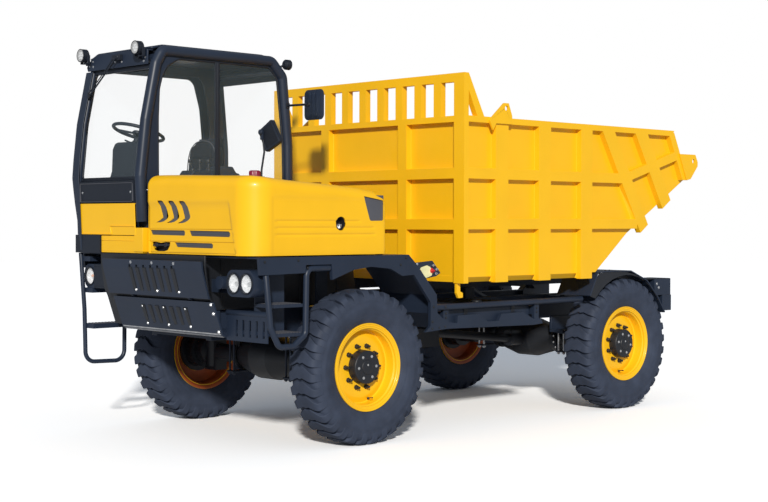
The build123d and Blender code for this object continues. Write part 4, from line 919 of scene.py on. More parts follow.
def make_front_panel():
    """Rail up the front right corner, and the front panel's bolts, edges and folds."""
    bm = bmesh.new()
    rings = []
    for z in RAIL_LEVELS:
        front = between(RAIL_LINE, z)[0]
        outer = -1.095 - 0.1 * smooth(z, 1.45, 2.25)
        inner = -1.062 - 0.022 * smooth(z, 2.0, 2.2)
        section = [
            (-0.04, outer), (-0.012, outer), (0, outer + 0.016), (0, inner), (-0.008, inner),
            (-0.008, outer + 0.022), (-0.04, outer + 0.01)]
        rings.append([bm.verts.new(at(front + x, y, z)) for x, y in section])
    loft(bm, rings)
    add("cab_corner_rail", bm, DARK, "chassis_dark", bevel=0.0025)

    bm = bmesh.new()
    facing = Vector((1, 0, -0.06))
    bolts(bm, [(4.489, y, 1.975) for y in (-1.02, -0.318)], facing, 0.0075, 0.005)
    bolts(bm, [(4.4605, y, 1.652) for y in (-0.54, -0.345)], facing, 0.007, 0.005)
    add("panel_bolts", bm, STEEL, "bright_rod", is_smooth=False)
    bm = bmesh.new()
    for z in (2.046, 1.898):
        block(bm, (4.484, 4.4945), (-1.055, -0.285), (z, z + 0.004))
    for y in (-1.055, -0.289):
        block(bm, (4.484, 4.4945), (y, y + 0.004), (1.898, 2.05))
    add("scuttle_edge", bm, GRILLE, is_smooth=False)

    # folds across the yellow panel, and the flap's steps that run on into the bonnet's
    bm = bmesh.new()
    blocks(bm, (4.466, 4.4795, -1.058, -0.62, 1.634, 1.64), (4.466, 4.4795, -0.64, -0.285, 1.7, 1.706))
    prism(bm, [(-0.64, 1.7), (-0.632, 1.706), (-0.612, 1.64), (-0.62, 1.634)], "x", 4.466, 4.478)
    blocks(bm, (4.395, 4.468, -0.3, -0.177, 1.5, 1.69), (4.455, 4.4635, -0.78, -0.195, 1.584, 1.588),
           (4.455, 4.4615, -0.78, -0.195, 1.5, 1.504))
    add("front_panel_folds", bm, YELLOW, "machine_yellow", bevel=0.002)


def make_wiper():
    """Wiper's motor, its arm and link, and the blade on the windscreen."""
    bm = bmesh.new()
    blocks(bm, (4.356, 4.392, -0.735, -0.625, 3.052, 3.098))
    stud(bm, at(4.385, -0.652, 3.078), AHEAD, [(0.018, 0), (0.018, 0.012), (0.012, 0.018)])
    stud(bm, at(4.385, -0.712, 3.066), AHEAD, [(0.013, 0), (0.013, 0.012), (0.009, 0.016)])
    add("wiper_motor", bm, PLASTIC, bevel=0.004)
    for name, radius, points in (
        ("wiper_arm", 0.007, [(4.4, -0.652, 3.078), (4.396, -0.78, 2.985), (4.4, -1.07, 2.775)]),
        ("wiper_link", 0.0045, [(4.398, -0.712, 3.066), (4.394, -0.81, 2.99), (4.398, -1.072, 2.805)]),
    ):
        pipe(name, [at(*point) for point in points], radius, PLASTIC, sides=10)
    bm = bmesh.new()
    blocks(bm, (4.392, 4.404, -1.08, -1.062, 2.765, 2.815))
    for z0, z1 in ((2.46, 2.8), (2.8, 2.95)):
        low, high = screen_x(z0), screen_x(z1)
        prism(bm, [(low + 0.01, z0), (low + 0.016, z0), (high + 0.016, z1), (high + 0.01, z1)],
              "y", -1.071, -1.063)
        prism(bm, [
            (low + 0.016, z0 + 0.02), (low + 0.022, z0 + 0.04), (high + 0.022, z1 - 0.04),
            (high + 0.016, z1 - 0.02)], "y", -1.074, -1.06)
    blocks(bm, (4.366, 4.394, -1.072, -1.062, 2.775, 2.8))
    add("wiper_blade", bm, BLACK, bevel=0.001)


# ---------------------------------------------------------------- door

DOOR_LINE = [
    (3.01, 1.535), (4.39, 1.535), (4.41, 2.1), (4.36, 2.55), (4.268, 2.985), (4.225, 3.05),
    (3.13, 3.05), (3.078, 2.975), (3.012, 2.4),
]
DOOR_WINDOW = [
    (3.135, 1.99), (4.378, 1.99), (4.39, 2.1), (4.341, 2.54), (4.252, 2.96), (4.212, 3.012),
    (3.29, 3.012), (3.236, 2.97), (3.172, 2.75), (3.146, 2.5),
]
DOOR_RECESS = [(3.1, 1.6), (4.32, 1.6), (4.33, 1.92), (3.1, 1.92)]
DOOR_OUTER_Y, DOOR_INNER_Y, HINGE_X, HINGE_Y = -1.195, -1.165, 2.985, -1.187


def make_door():
    """Framed door with the hinge pins, its pane, seal and handles."""
    on_door = {"body": "cab_door"}
    door = plate("door_frame", DOOR_LINE, "y", DOOR_OUTER_Y, DOOR_INNER_Y, DARK,
                 slot="chassis_dark", **on_door)
    carve(door, [
        plate("cutter_window", DOOR_WINDOW, "y", DOOR_OUTER_Y - 0.01, DOOR_INNER_Y + 0.01, DARK),
        plate("cutter_recess", DOOR_RECESS, "y", DOOR_OUTER_Y - 0.01, DOOR_OUTER_Y + 0.006, DARK)])
    round_edges(door, 0.004, angle=30)
    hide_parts("cab_door")
    pane = plate("door_pane", DOOR_WINDOW, "y", DOOR_OUTER_Y + 0.012, DOOR_OUTER_Y + 0.018, GLASS,
                 slot="clear_glass", **on_door)
    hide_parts("door_glass")
    line = [at(x, DOOR_OUTER_Y + 0.015, z) for x, z in DOOR_WINDOW + DOOR_WINDOW[:2]]
    pipe("door_seal", line, 0.0085, PLASTIC, bend=0.03, **on_door)
    bm = bmesh.new()
    for z in (1.66, 2.3):
        stud(bm, at(HINGE_X, HINGE_Y, z), UP, [(0.0078, 0), (0.0078, 0.08)])
        blocks(bm, (2.9775, 3.034, -1.1945, -1.179, z + 0.0415, z + 0.08))
        stud(bm, at(HINGE_X, HINGE_Y, z + 0.08), UP, [(0.013, 0), (0.013, 0.006), (0.008, 0.01)])
    add("door_hinges", bm, DARK, "chassis_dark", bevel=0.001, **on_door)
    bm = bmesh.new()
    stud(bm, at(4.335, DOOR_OUTER_Y, 1.952), -LEFT, [
        (0.022, 0), (0.022, 0.008), (0.014, 0.012), (0.014, 0.026)], 24)
    blocks(bm, (4.2, 4.345, -1.228, -1.214, 1.941, 1.963))
    add("door_handle", bm, PLASTIC, bevel=0.003, **on_door)
    pipe("door_pull", [
        at(4.3, -1.164, 1.7), at(4.3, -1.128, 1.7), at(4.31, -1.128, 2.06), at(4.31, -1.164, 2.06),
    ], 0.01, PLASTIC, bend=0.02, **on_door)


# ---------------------------------------------------------------- inside the cab

STEERING_Y, STEERING_RADIUS, STEERING_AXIS = -0.78, 0.212, Vector((-0.3, 0, 0.954))
GAUGES = [(-0.86, 0.04), (-0.75, 0.052), (-0.64, 0.04)]


def make_dash():
    """Dashboard with its binnacle, the column and its levers, and the steering wheel."""
    bm = bmesh.new()
    prism(bm, [
        (4.23, 1.532), (4.3645, 1.532), (4.3645, 1.985), (4.305, 2.055), (4.27, 2.16), (4.262, 2.34),
        (4.235, 2.398), (4.18, 2.402), (4.112, 2.345), (4.118, 2.24), (4.205, 2.11), (4.232, 2.02),
    ], "y", -0.938, -0.562)
    dash = add("dashboard", bm, PLASTIC, bevel=0.026, segments=5)
    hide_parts("steering")
    bm = bmesh.new()
    bar(bm, at(4.225, STEERING_Y, 2.075), at(4.104, STEERING_Y, 2.47), 0.024, 24)
    stud(bm, at(4.15, STEERING_Y, 2.32), STEERING_AXIS, [(0.045, 0), (0.04, 0.05), (0.03, 0.09)], 24)
    bar(bm, at(4.145, -0.8, 2.39), at(4.11, -0.965, 2.425), 0.007)
    bar(bm, at(4.145, -0.76, 2.39), at(4.11, -0.6, 2.42), 0.007)
    add("steering_column", bm, PLASTIC)

    centre, axis = at(4.1, STEERING_Y, 2.483), STEERING_AXIS.normalized()
    across, up = across_of(axis)
    bm = bmesh.new()
    rim = [centre + across * u + up * v for u, v in circle(64, STEERING_RADIUS)]
    sweep(bm, rim + rim[:1], 0.0145)
    for turn in (90, 205, 335):
        a = math.radians(turn)
        spoke = across * math.cos(a) + up * math.sin(a)
        bar(bm, centre + spoke * 0.03 - axis * 0.012, centre + spoke * 0.205, 0.0095)
    lathe(bm, centre - axis * 0.03, axis, [
        (0, 0), (0.04, 0), (0.05, 0.012), (0.05, 0.026), (0.04, 0.036), (0, 0.04)], 36)
    stud(bm, at(4.005, -0.93, 2.462), axis, [(0.012, 0), (0.019, 0.018), (0.019, 0.032), (0.01, 0.042)])
    add("steering_wheel", bm, PLASTIC)


def make_console():
    """Side console with its levers and switches."""
    bm = bmesh.new()
    prism(bm, [
        (3.445, 1.532), (3.955, 1.532), (3.955, 2.12), (3.925, 2.16), (3.69, 2.166), (3.665, 2.198),
        (3.52, 2.2), (3.485, 2.15), (3.445, 2.14)], "y", -0.418, -0.2425)
    add("side_console", bm, PLASTIC, bevel=0.014, segments=4)
    bm = bmesh.new()
    for x, y, tilt in ((3.87, -0.335, 0.02), (3.8, -0.335, -0.01), (3.73, -0.3, 0.0)):
        foot, top = at(x, y, 2.16), at(x + tilt, y - 0.01, 2.232)
        bar(bm, foot, top, 0.006)
        lathe(bm, top, UP, [(0, -0.012), (0.012, -0.008), (0.016, 0.006), (0.012, 0.02), (0, 0.024)], 20)
        cap(bm, foot, UP, [(0.02, 0), (0.02, 0.006), (0.01, 0.022)])
    for x in (3.535 + 0.022 * k for k in range(6)):
        blocks(bm, (x, x + 0.013, -0.37, -0.345, 2.1985, 2.206))
    add("console_levers", bm, BLACK)


def make_gauges():
    """Round gauges in the binnacle, with their marks and hands."""
    bm, marks = bmesh.new(), bmesh.new()
    facing = Vector((-0.82, 0, 0.57)).normalized()
    across, up = across_of(facing)
    for y, radius in GAUGES:
        place = at(4.128, y, 2.3245)
        stud(bm, place, facing, [
            (radius, 0), (radius, 0.012), (radius - 0.006, 0.014), (radius - 0.008, 0.008)], 36)
        middle, reach = place + facing * 0.0085, radius - 0.01
        for a in (math.radians(-30 + 30 * k) for k in range(9)):
            tick = (across * math.cos(a) + up * math.sin(a)) * reach
            bar(marks, middle + tick * 0.8, middle + tick, 0.0012, 6)
        bar(marks, middle, middle + (across * 0.5 + up * 0.8) * reach * 0.75, 0.0016, 6)
    add("gauges", bm, BLACK)
    add("gauge_marks", marks, WHITE, is_smooth=False)


def make_pedals():
    """Two ribbed pedals on their arms, and the floor's mat."""
    bm = bmesh.new()
    for y, x in ((-0.88, 4.1), (-0.72, 4.12)):
        prism(bm, [(x, 1.6), (x + 0.012, 1.595), (x + 0.075, 1.7), (x + 0.065, 1.707)], "y", y, y + 0.075)
        bar(bm, at(x + 0.06, y + 0.037, 1.685), at(x + 0.13, y + 0.037, 1.64), 0.009)
        for rib_x, z in ((x + 0.0135 * k, 1.615 + 0.022 * k) for k in range(4)):
            blocks(bm, (rib_x + 0.004, rib_x + 0.01, y + 0.006, y + 0.069, z, z + 0.006))
    blocks(bm, (3.0, 4.36, -1.08, -0.262, 1.531, 1.537))
    add("pedals_and_mat", bm, RUBBER, bevel=0.001)


def puff(piece, reach, pressure=4.0):
    """Puffs a cushion out by cloth simulation, with no point going further than reach, and smooths it."""
    grid = piece.modifiers.new("grid", "REMESH")
    grid.mode, grid.voxel_size = "VOXEL", 0.009
    settle(piece)
    start = [v.co.copy() for v in piece.data.vertices]
    cloth = piece.modifiers.new("cloth", "CLOTH")
    cloth.settings.quality = 5
    cloth.settings.use_pressure = True
    cloth.settings.uniform_pressure_force = pressure
    cloth.settings.effector_weights.gravity = 0
    for number in range(1, 21):
        bpy.context.scene.frame_set(number)
    settle(piece)
    bpy.context.scene.frame_set(1)
    for vertex, before in zip(piece.data.vertices, start):
        move = vertex.co - before
        if move.length > reach:
            vertex.co = before + move * (reach / move.length)
    even = piece.modifiers.new("even", "SMOOTH")
    even.factor, even.iterations = 0.5, 4
    settle(piece)


def sew(piece, facing, distances, depth=0.006, width=0.011):
    """Presses sewn channels into a cushion's face: each line is a function that gives the distance to it."""
    normals = [v.normal.copy() for v in piece.data.vertices]
    for vertex, normal in zip(piece.data.vertices, normals):
        if normal.dot(facing) > 0.45:
            nearest = min(distance(vertex.co) for distance in distances)
            vertex.co = vertex.co - normal * depth * math.exp(-(nearest / width) ** 2)


def make_cushion(name, bm, bevel, reach, facing, seams):
    """Cushion of cloth from a plain form: rounded, puffed out, sewn and made finer."""
    piece = add(name, bm, CLOTH, "seat_cover", bevel=bevel, segments=3)
    settle(piece)
    puff(piece, reach)
    sew(piece, facing, seams)
    fine = piece.modifiers.new("fine", "SUBSURF")
    fine.levels = fine.render_levels = 1
    for polygon in piece.data.polygons:
        polygon.use_smooth = True
    return piece


# the seat is built about this middle, and then moved to its place in the cab
SEAT_Y, SEAT_MOVE = -0.705, Matrix.Translation((0.1, -0.015, 0))
BACK_FOOT_Z, BACK_LEAN = 1.935, 0.085
BACK_LINE = [
    (-0.908, 1.935), (-0.918, 2.1), (-0.914, 2.3), (-0.885, 2.385), (-0.815, 2.438), (-0.705, 2.455),
    (-0.595, 2.438), (-0.525, 2.385), (-0.496, 2.3), (-0.492, 2.1), (-0.502, 1.935),
]


def make_seat():
    """Sprung seat: two sewn cushions, the back's piping, and the base with its bellows."""
    bm = bmesh.new()
    prism(bm, [
        (3.42, -0.91), (3.415, -0.86), (3.415, -0.55), (3.42, -0.5), (3.5, -0.496), (3.78, -0.502),
        (3.828, -0.54), (3.838, -0.6), (3.838, -0.81), (3.828, -0.87), (3.78, -0.908), (3.5, -0.914),
    ], "z", 1.866, 1.944)
    cushion = make_cushion("seat_cushion", bm, 0.02, 0.009, UP, [
        lambda p: abs(abs(p.y - SEAT_Y) - 0.135), lambda p: abs(p.x + MIDDLE_X - 3.52),
        lambda p: abs(p.x + MIDDLE_X - 3.66)])
    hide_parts("seat")
    bm = bmesh.new()
    prism(bm, BACK_LINE, "x", 3.335, 3.422)
    for vertex in bm.verts:
        vertex.co.x -= (vertex.co.z - BACK_FOOT_Z) * BACK_LEAN
    back = make_cushion("seat_back", bm, 0.022, 0.01, AHEAD, [
        lambda p: abs(abs(p.y - SEAT_Y) - 0.13), lambda p: abs(p.z - 2.08), lambda p: abs(p.z - 2.28)])
    # the piping is grey, lighter than the cloth: real piping, whose colour also paints the highlight along
    # the back's edge
    edge = [(SEAT_Y + (y - SEAT_Y) * 0.925, (z - BACK_FOOT_Z) * 0.968) for y, z in BACK_LINE]
    piping = pipe("seat_piping", [at(3.424 - rise * BACK_LEAN, y, BACK_FOOT_Z + rise) for y, rise in edge],
                  0.0045, GRILLE, "seat_cover", bend=0.03)

    bm = bmesh.new()
    prism(bm, [(3.3, 1.86), (3.312, 1.86), (3.29, 2.46), (3.278, 2.45)], "y", -0.885, -0.525)
    prism(bm, [(3.3, 1.9), (3.335, 1.846), (3.4, 1.846), (3.4, 1.87)], "y", -0.88, -0.53)
    blocks(bm, (3.34, 3.82, -0.9, -0.51, 1.846, 1.868), (3.46, 3.74, -0.86, -0.55, 1.7, 1.846),
           (3.43, 3.77, -0.88, -0.53, 1.532, 1.7))
    bar(bm, at(3.6, -0.93, 1.8), at(3.6, -0.885, 1.8), 0.025, 20)
    base = add("seat_base", bm, PLASTIC, bevel=0.008, segments=3)
    bm = bmesh.new()
    for z in (1.718 + 0.018 * k for k in range(7)):
        blocks(bm, (3.452, 3.748, -0.868, -0.542, z, z + 0.009))
    bellows = add("seat_bellows", bm, RUBBER, bevel=0.004)
    for piece in (cushion, back, piping, base, bellows):
        piece.data.transform(SEAT_MOVE)


# ---------------------------------------------------------------- lamps and mirror on the cab

def make_lamp(parts, centre, axis, radius, depth):
    """Round lamp from the centre of its front, the way it looks, its radius and its depth."""
    housing, rings, lens, bulbs = parts
    back = -depth
    lathe(housing, centre, axis, [
        (radius * 0.55, back), (radius * 0.8, back + 0.006), (radius * 0.93, back + 0.02),
        (radius * 0.93, -0.01), (radius * 0.96, -0.01), (radius, -0.004), (radius, 0.0), (radius * 0.9, 0.0),
        (radius * 0.88, -0.012), (0, -0.012)], 40)
    stud(housing, centre, axis, [(radius * 0.55, back), (radius * 0.5, back - 0.004)], 24)
    for place in (back + 0.014 + 0.0085 * k for k in range(5)):
        inner, outer = radius * 0.92, radius * 0.985
        hoop(housing, centre, axis, [
            (inner, place), (outer, place), (outer, place + 0.003), (inner, place + 0.003)], 40)
    hoop(rings, centre, axis, [
        (radius * 0.985, -0.006), (radius * 0.985, 0.0005), (radius * 0.9, 0.0005),
        (radius * 0.89, -0.006)], 40)
    cap(lens, centre, axis, [(radius * 0.9, -0.004), (radius * 0.88, -0.001), (radius * 0.5, 0.0)], 40)
    across, up = across_of(axis)
    for u, v in circle(1, 0) + circle(6, radius * 0.42):
        lathe(bulbs, centre + across * u + up * v - axis * 0.0115, axis, [
            (0, 0), (radius * 0.12, 0), (radius * 0.19, 0.006), (radius * 0.17, 0.006), (0, 0.002)], 16)


def make_work_lamps():
    """Two lamps with their brackets on the roof's front corners, and one at the back."""
    parts = [bmesh.new() for _ in range(4)]
    housing = parts[0]
    for y, inward in ((-1.134, 1), (-0.33, -1)):
        make_lamp(parts, at(4.44, y, 3.125), AHEAD, 0.055, 0.07)
        blocks(housing, (4.378, 4.402, y - 0.008, y + 0.008, 3.052, 3.08))
        for cheek in (y - 0.052, y + 0.052):
            blocks(housing, (4.376, 4.404, cheek - 0.002, cheek + 0.002, 3.06, 3.128))
        foot = y + inward * 0.03
        blocks(housing, (4.376, 4.404, y - 0.054, y + 0.054, 3.056, 3.062),
               (4.35, 4.395, foot - 0.014, foot + 0.014, 3.04, 3.058))
    make_lamp(parts, at(2.93, -0.225, 3.09), BACK, 0.045, 0.055)
    bar(housing, at(2.972, -0.225, 3.088), at(3.03, -0.225, 3.065), 0.01)
    piece = add("work_lamp_bodies", housing, PLASTIC, bevel=0.001)
    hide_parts("work_lamps")
    for kind, bm, finish, slot in (
        ("rings", parts[1], BLACK, "black_plastic"), ("lenses", parts[2], CLEAR_LENS, "lamp_lens"),
        ("bulbs", parts[3], WHITE, "lamp_lens"),
    ):
        add(f"work_lamp_{kind}", bm, finish, slot)


HEAD_Y, HEAD_Z, HEAD_CORNER = (-0.018, 0.229), (2.602, 2.858), 0.045
HEAD_ROWS, HEAD_COLUMNS = 20, 24


def head_point(u, v):
    """Place on the cab mirror's face of u and v from -1 to 1, with round corners."""
    (y0, y1), (z0, z1) = HEAD_Y, HEAD_Z
    half_y, half_z = (y1 - y0) / 2, (z1 - z0) / 2
    y, z = u * half_y, v * half_z
    reach_y, reach_z = abs(y) - (half_y - HEAD_CORNER), abs(z) - (half_z - HEAD_CORNER)
    if reach_y > 0 and reach_z > 0:
        scale = max(reach_y, reach_z) / math.hypot(reach_y, reach_z)
        y = math.copysign(half_y - HEAD_CORNER + reach_y * scale, y)
        z = math.copysign(half_z - HEAD_CORNER + reach_z * scale, z)
    return y + (y0 + y1) / 2, z + (z0 + z1) / 2


def head_front(u, v):
    """Place along X of the mirror's ribbed and crowned back, which faces ahead."""
    ribs = sum(1 - smooth(abs(u - c), 0.05, 0.11) for c in (-0.36, 0.05, 0.46))
    return 2.952 - 0.02 * max(abs(u), abs(v)) ** 3 + 0.004 * ribs * (1 - smooth(abs(v), 0.7, 0.86))


def make_cab_mirror():
    """Mirror head with a ribbed back, its arm and the glass that looks back."""
    bm = bmesh.new()
    borders = []
    for depth_of in (head_front, lambda u, v: 2.926):
        grid = []
        for v in (-1 + 2 * i / HEAD_ROWS for i in range(HEAD_ROWS + 1)):
            us = [-1 + 2 * j / HEAD_COLUMNS for j in range(HEAD_COLUMNS + 1)]
            grid.append([bm.verts.new(at(depth_of(u, v), *head_point(u, v))) for u in us])
        bridge(bm, grid, is_closed=False)
        first, last = ([row[place] for row in grid[1:-1]] for place in (0, -1))
        borders.append(grid[0] + last + grid[-1][::-1] + first[::-1])
    bridge(bm, borders)
    head = add("cab_mirror_head", bm, DARK)
    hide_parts("cab_mirror")
    bm = bmesh.new()
    bar(bm, at(2.985, -0.1786, 2.735), at(2.962, -0.03, 2.735), 0.01, 16)
    bar(bm, at(2.962, -0.032, 2.735), at(2.949, 0.06, 2.735), 0.01, 16)
    stud(bm, at(2.952, 0.06, 2.735), AHEAD, [(0.02, -0.02), (0.02, 0.006), (0.014, 0.011)])
    blocks(bm, (2.965, 3.0, -0.186, -0.172, 2.712, 2.758))
    add("cab_mirror_arm", bm, PLASTIC, bevel=0.001)
    plate("cab_mirror_glass", [
        (0.0, 2.615), (0.211, 2.615), (0.217, 2.63), (0.217, 2.83), (0.205, 2.845), (0.006, 2.845),
        (-0.006, 2.83), (-0.006, 2.63)], "x", 2.9235, 2.9262, MIRROR, slot="bright_rod", bevel=0.0008)


# ---------------------------------------------------------------- chassis and skip trim

BRACKET_Y = 1.104


def make_switch():
    """Battery switch on the left fender's bracket."""
    plate("switch_plate", [
        (2.664, 1.352), (2.65, 1.372), (2.588, 1.387), (2.556, 1.374), (2.54, 1.352), (2.532, 1.318),
        (2.541, 1.3), (2.601, 1.284), (2.622, 1.294)], "y", BRACKET_Y, 1.122, PALE,
          is_smooth=True, bevel=0.003)
    bm = bmesh.new()
    stud(bm, at(2.54, BRACKET_Y, 1.342), LEFT, [
        (0.024, 0), (0.024, 0.016), (0.017, 0.019), (0.017, 0.03)], 24)
    blocks(bm, (2.524, 2.556, 1.13, 1.146, 1.337, 1.347))
    bar(bm, at(2.744, 1.116, 1.341), at(2.664, 1.116, 1.341), 0.0085, 16)
    add("switch_handle", bm, RED, bevel=0.001)
    bm = bmesh.new()
    for x, z in ((2.508, 1.386), (2.471, 1.352), (2.478, 1.318)):
        stud(bm, at(x, BRACKET_Y, z), LEFT, [(0.011, 0), (0.011, 0.008), (0.006, 0.009), (0.006, 0.022)], 16)
    bolts(bm, [(2.69, BRACKET_Y, 1.398), (2.64, BRACKET_Y, 1.296)], LEFT, 0.008, 0.006)
    add("switch_terminals", bm, STEEL, "bright_rod", is_smooth=False)


def make_axle_trim():
    """U-bolts with their plates at each axle, and bolts round the axle flanges and the differentials."""
    for axle, x_axle, spread, low_z, high_z, inward, finish in (
        ("front", WHEELBASE, (0.344, 0.399), 0.462, 0.835, AHEAD, DARK),
        ("rear", 0.0, (0.485, 0.549), 0.49, 0.7, BACK, STEEL),
    ):
        bm = bmesh.new()
        for x, y in ((x_axle + x, side * y) for _, side in SIDES for y in spread for x in (-0.148, 0.148)):
            bar(bm, at(x, y, low_z - 0.022), at(x, y, high_z), 0.009, 14)
            cap(bm, at(x, y, low_z), DOWN, [(0.017, 0), (0.017, 0.014), (0.014, 0.016)], 6)
            cap(bm, at(x, y, high_z), UP, [(0.015, 0), (0.015, 0.006)], 6)
        add(f"u_bolts_{axle}", bm, finish, "bright_rod", is_smooth=False)
        bm = bmesh.new()
        for _, side in SIDES:
            y = (side * (spread[0] - 0.016), side * (spread[1] + 0.017))
            block(bm, (x_axle - 0.172, x_axle + 0.172), y, (low_z, low_z + 0.014))
            for x in (x_axle - 0.168, x_axle + 0.098):
                block(bm, (x, x + 0.07), y, (high_z - 0.029, high_z - 0.0155))
            if axle == "rear":
                x, y = (x_axle - 0.175, x_axle + 0.175), side * 0.395
                block(bm, x, (y, side * 0.56), (high_z - 0.02, high_z + 0.01))
                block(bm, x, (y, side * 0.42), (high_z, 0.83))
        add(f"u_bolt_plates_{axle}", bm, DARK, "chassis_dark", bevel=0.003)
        bm = bmesh.new()
        for _, side in SIDES:
            ends = [(x_axle + u, side * 0.392, AXLE_Z + v) for u, v in circle(12, 0.115, 0.5)]
            bolts(bm, ends, LEFT * side, 0.008, 0.007)
        flange = [(x_axle + inward.x * 0.07, u, AXLE_Z + v) for u, v in circle(10, 0.1)]
        bolts(bm, flange, inward, 0.008, 0.055)
        add(f"axle_bolts_{axle}", bm, STEEL, "bright_rod", is_smooth=False)


REAR_LIGHT_X = -0.7405


def make_rear_lights():
    """Red and amber lamps with their rims and bolts on the box at each rear corner."""
    for tag, side in SIDES:
        red, amber, rims, bm = (bmesh.new() for _ in range(4))
        for y, lens in ((side * 0.965, red), (side * 1.085, amber)):
            place = at(REAR_LIGHT_X, y, 1.118)
            lathe(lens, place, BACK, [
                (0.046, 0), (0.046, 0.01), (0.04, 0.017), (0.02, 0.021), (0, 0.022)], 36)
            hoop(rims, place, BACK, [(0.047, 0), (0.054, 0), (0.054, 0.01), (0.047, 0.012)], 36)
        bolts(rims, [(REAR_LIGHT_X, side * y, 1.165) for y in (0.925, 1.125)], BACK, 0.007, 0.005)
        blocks(rims, (-0.742, -0.38, side * 0.905, side * 1.146, 1.1955, 1.2))
        add(f"rear_light_red_{tag}", red, RED, "lamp_lens")
        add(f"rear_light_amber_{tag}", amber, AMBER, "lamp_lens")
        add(f"rear_light_rims_{tag}", rims, PLASTIC, bevel=0.001)
        bolts(bm, [(-0.546, side * 1.15, 1.113), (-0.515, side * 1.15, 1.15)], LEFT * side, 0.01, 0.006)
        bolts(bm, [(-0.7565, side * y, 1.02) for y in (0.95, 1.02, 1.1)], BACK, 0.008, 0.006)
        add(f"rear_light_bolts_{tag}", bm, STEEL, "bright_rod", is_smooth=False)


FENDER_BOLTS = [
    (4.34, 1.445), (4.02, 1.452), (3.93, 1.395), (2.96, 1.4), (2.9, 1.455), (2.585, 1.05), (2.6, 0.93)]


def make_chassis_bolts():
    """Bolts of the fenders, the sills and the rails, left and right."""
    bm, bright = bmesh.new(), bmesh.new()
    for _, side in SIDES:
        outward = LEFT * side
        fender, rear, sill, rail = (side * y for y in (1.19, 1.13, 1.11, 0.4))
        bolts(bm, [(x, fender, z) for x, z in FENDER_BOLTS], outward, 0.008, 0.006)
        bolts(bm, [(x, fender, 0.875 + (2.6 - x) * 0.06) for x in (2.6, 2.52, 2.45)], outward, 0.007, 0.005)
        bolts(bm, [(0.2, rear, 1.2955), (0.26, rear, 1.2955), (-0.3, rear, 1.205)], UP, 0.008, 0.006)
        bolts(bm, [(2.4, side * 1.145, 1.042)], outward, 0.01, 0.006)
        bolts(bm, [(x, sill, z) for x in (1.21, 2.36) for z in (0.95, 0.985)], outward, 0.008, 0.006)
        places = (-0.42, 0.6, 1.32, 1.9, 2.44, 3.1, 3.95)
        bolts(bm, [(x, rail, z) for x in places for z in (0.87, 1.0)], outward, 0.011, 0.009)
        bolts(bright, [(2.455, side * 1.072, 1.042)], Vector((1, side * 0.4, 0)), 0.009, 0.006)
    add("chassis_bolts", bm, BLACK, "chassis_dark", is_smooth=False)
    add("chassis_bolts_bright", bright, STEEL, "bright_rod", is_smooth=False)


# rear fender's arch from its front foot to its rear one; the wall under it ends on a circle over the tyre
ARCH = [
    (0.546, 1.066), (0.431, 1.276), (0.2, 1.281), (-0.056, 1.276), (-0.302, 1.182), (-0.466, 1.03),
    (-0.5, 0.985),
]
ARCH_STEPS, ARCH_RADIUS = 11, 0.642


def make_inner_walls():
    """Dark walls beside the engine and between the rear fenders and their tyres."""
    row = [(k, *point) for k, point in enumerate(ARCH)]
    outer = [between(row, (1 - k / ARCH_STEPS) * (len(ARCH) - 1)) for k in range(ARCH_STEPS + 1)]
    turns = [math.radians(142 - 9 * k) for k in range(ARCH_STEPS + 1)]
    inner = [(ARCH_RADIUS * math.cos(a), AXLE_Z + ARCH_RADIUS * math.sin(a)) for a in turns]
    panes = list(zip(outer, outer[1:], inner[1:], inner))
    for tag, side in SIDES:
        bm = bmesh.new()
        prism(bm, [(2.76, 1.06), (4.33, 1.06), (4.33, 1.474), (2.8, 1.474)],
              "y", side * 0.44, side * 0.446)
        for x in (2.95, 3.35, 3.75, 4.15):
            blocks(bm, (x, x + 0.03, side * 0.436, side * 0.45, 1.07, 1.47))
        add(f"bay_side_{tag}", bm, BLACK, "chassis_dark", bevel=0.002)
        bm = bmesh.new()
        for pane in panes:
            for y in (0.802, 1.176):
                prism(bm, pane, "y", side * y, side * (y + 0.006))
        add(f"rear_arch_wall_{tag}", bm, BLACK, "chassis_dark", is_smooth=False)


def make_treads():
    """Ribs on the steps, and the straps and caps of the tanks."""
    bm = bmesh.new()
    for x in (3.975 + 0.029 * k for k in range(9)):
        blocks(bm, (x, x + 0.01, 0.958, 1.162, 1.13, 1.1345), (x, x + 0.01, 0.958, 1.162, 0.915, 0.9195))
    for front, z in ((4.434, 1.448), (4.41, 1.185), (4.4, 0.885)):
        for x in (front - 0.03 - 0.032 * k for k in range(12)):
            blocks(bm, (x - 0.012, x, -1.13, -1.004, z, z + 0.0035))
    add("step_treads", bm, GRILLE, "chassis_dark", is_smooth=False)
    bm = bmesh.new()
    for _, side in SIDES:
        for x in (1.45, 2.05):
            blocks(bm, (x, x + 0.045, side * 0.408, side * 1.0645, 1.0405, 1.045),
                   (x, x + 0.045, side * 1.0605, side * 1.065, 0.862, 1.045))
        stud(bm, at(1.76, side * 0.9, 1.038), UP, [(0.045, 0), (0.045, 0.022), (0.038, 0.03)], 32)
    add("tank_straps", bm, BLACK, "chassis_dark", bevel=0.001)


SKIP_SIDE_Y, SKIP_FACE_X, RIB_PLACES = 1.176, 2.22, (1.805, 1.245, 0.665)


def bead(bm, start, end):
    """Weld bead with a slight waver."""
    count = max(2, int((end - start).length / 0.05))
    path = [start + (end - start) * (k / count) for k in range(count)] + [end]
    waver = [Vector([random.uniform(-1, 1) for _ in range(3)]) * 0.0008 for _ in path]
    sweep(bm, [point + shift for point, shift in zip(path, waver)], 0.0045, 6)


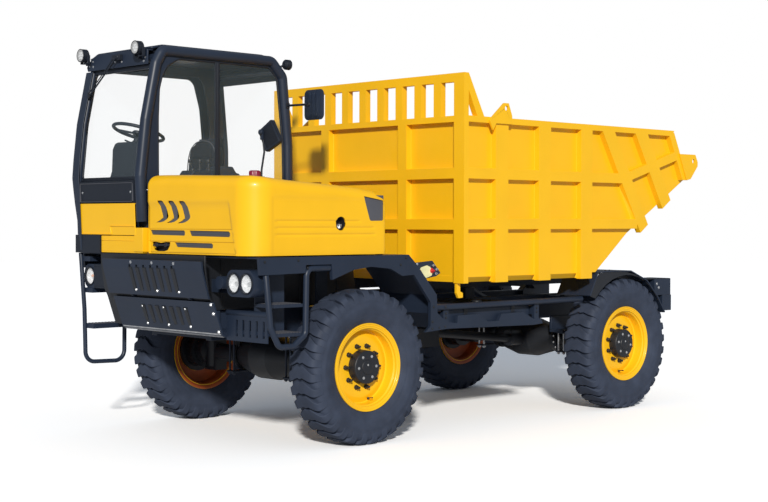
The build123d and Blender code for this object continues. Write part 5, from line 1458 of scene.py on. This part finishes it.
def make_skip_welds():
    """Weld beads where the ribs meet the skip's sides and its front."""
    random.seed(7)
    bm = bmesh.new()
    for _, side in SIDES:
        y = side * SKIP_SIDE_Y
        for x in (place + edge for place in RIB_PLACES for edge in (-0.081, 0.081)):
            for z0, z1 in ((1.288, 1.676), (1.774, 2.096), (2.194, 2.564)):
                bead(bm, at(x, y, z0), at(x, y, z1))
        for x0, x1 in ((1.89, 2.216), (1.33, 1.72), (0.75, 1.16)):
            for z in (1.679, 1.771, 2.099, 2.191, 2.567):
                bead(bm, at(x0, y, z), at(x1, y, z))
        bead(bm, at(2.217, y, 1.3), at(2.217, y, 2.56))
    for y in (-0.553, -0.447, 0.447, 0.553):
        for z0, z1 in ((1.288, 1.671), (1.769, 2.096), (2.194, 2.564)):
            bead(bm, at(SKIP_FACE_X, y, z0), at(SKIP_FACE_X, y, z1))
    for y0, y1 in ((-1.108, -0.557), (-0.443, 0.443), (0.557, 1.108)):
        for z in (1.672, 1.768, 2.097, 2.193, 2.565):
            bead(bm, at(SKIP_FACE_X, y0, z), at(SKIP_FACE_X, y1, z))
    add("skip_welds", bm, YELLOW, "machine_yellow", "skip")


def make_skip_rails():
    """Rails along the skip's bottom edges, with a small gusset at each side of a rib."""
    bm = bmesh.new()
    section = [(1.1775, 1.29), (1.1775, 1.282), (1.125, 1.238), (1.115, 1.238), (1.115, 1.29)]
    for _, side in SIDES:
        prism(bm, [(side * y, z) for y, z in section], "x", 0.6, 2.2)
        for x, way in ((x, way) for x in RIB_PLACES for way in (-1, 1)):
            edge = x + way * 0.08
            prism(bm, [(edge, 1.24), (edge + way * 0.028, 1.24), (edge, 1.284)],
                  "y", side * 1.178, side * 1.186)
    blocks(bm, (2.196, 2.2215, -1.125, 1.125, 1.238, 1.29))
    add("skip_bottom_rails", bm, YELLOW, "machine_yellow", "skip", is_smooth=False, bevel=0.002)


# ---------------------------------------------------------------- assembly

make_camera()
make_stage()
dress_nodes()
for wheel_name, wheel_x, wheel_side in (
    ("front_left", WHEELBASE, 1), ("front_right", WHEELBASE, -1), ("rear_left", 0, 1), ("rear_right", 0, -1),
):
    make_wheel(wheel_name, wheel_x, wheel_side)

for build in (
    make_bonnet, make_filler, make_bonnet_mirror, make_nose, make_headlamps, make_roof, make_window_trim,
    make_front_panel, make_wiper, make_door, make_dash, make_console, make_gauges, make_pedals, make_seat,
    make_work_lamps, make_cab_mirror, make_switch, make_axle_trim, make_rear_lights, make_chassis_bolts,
    make_inner_walls, make_treads, make_skip_welds, make_skip_rails,
):
    build()
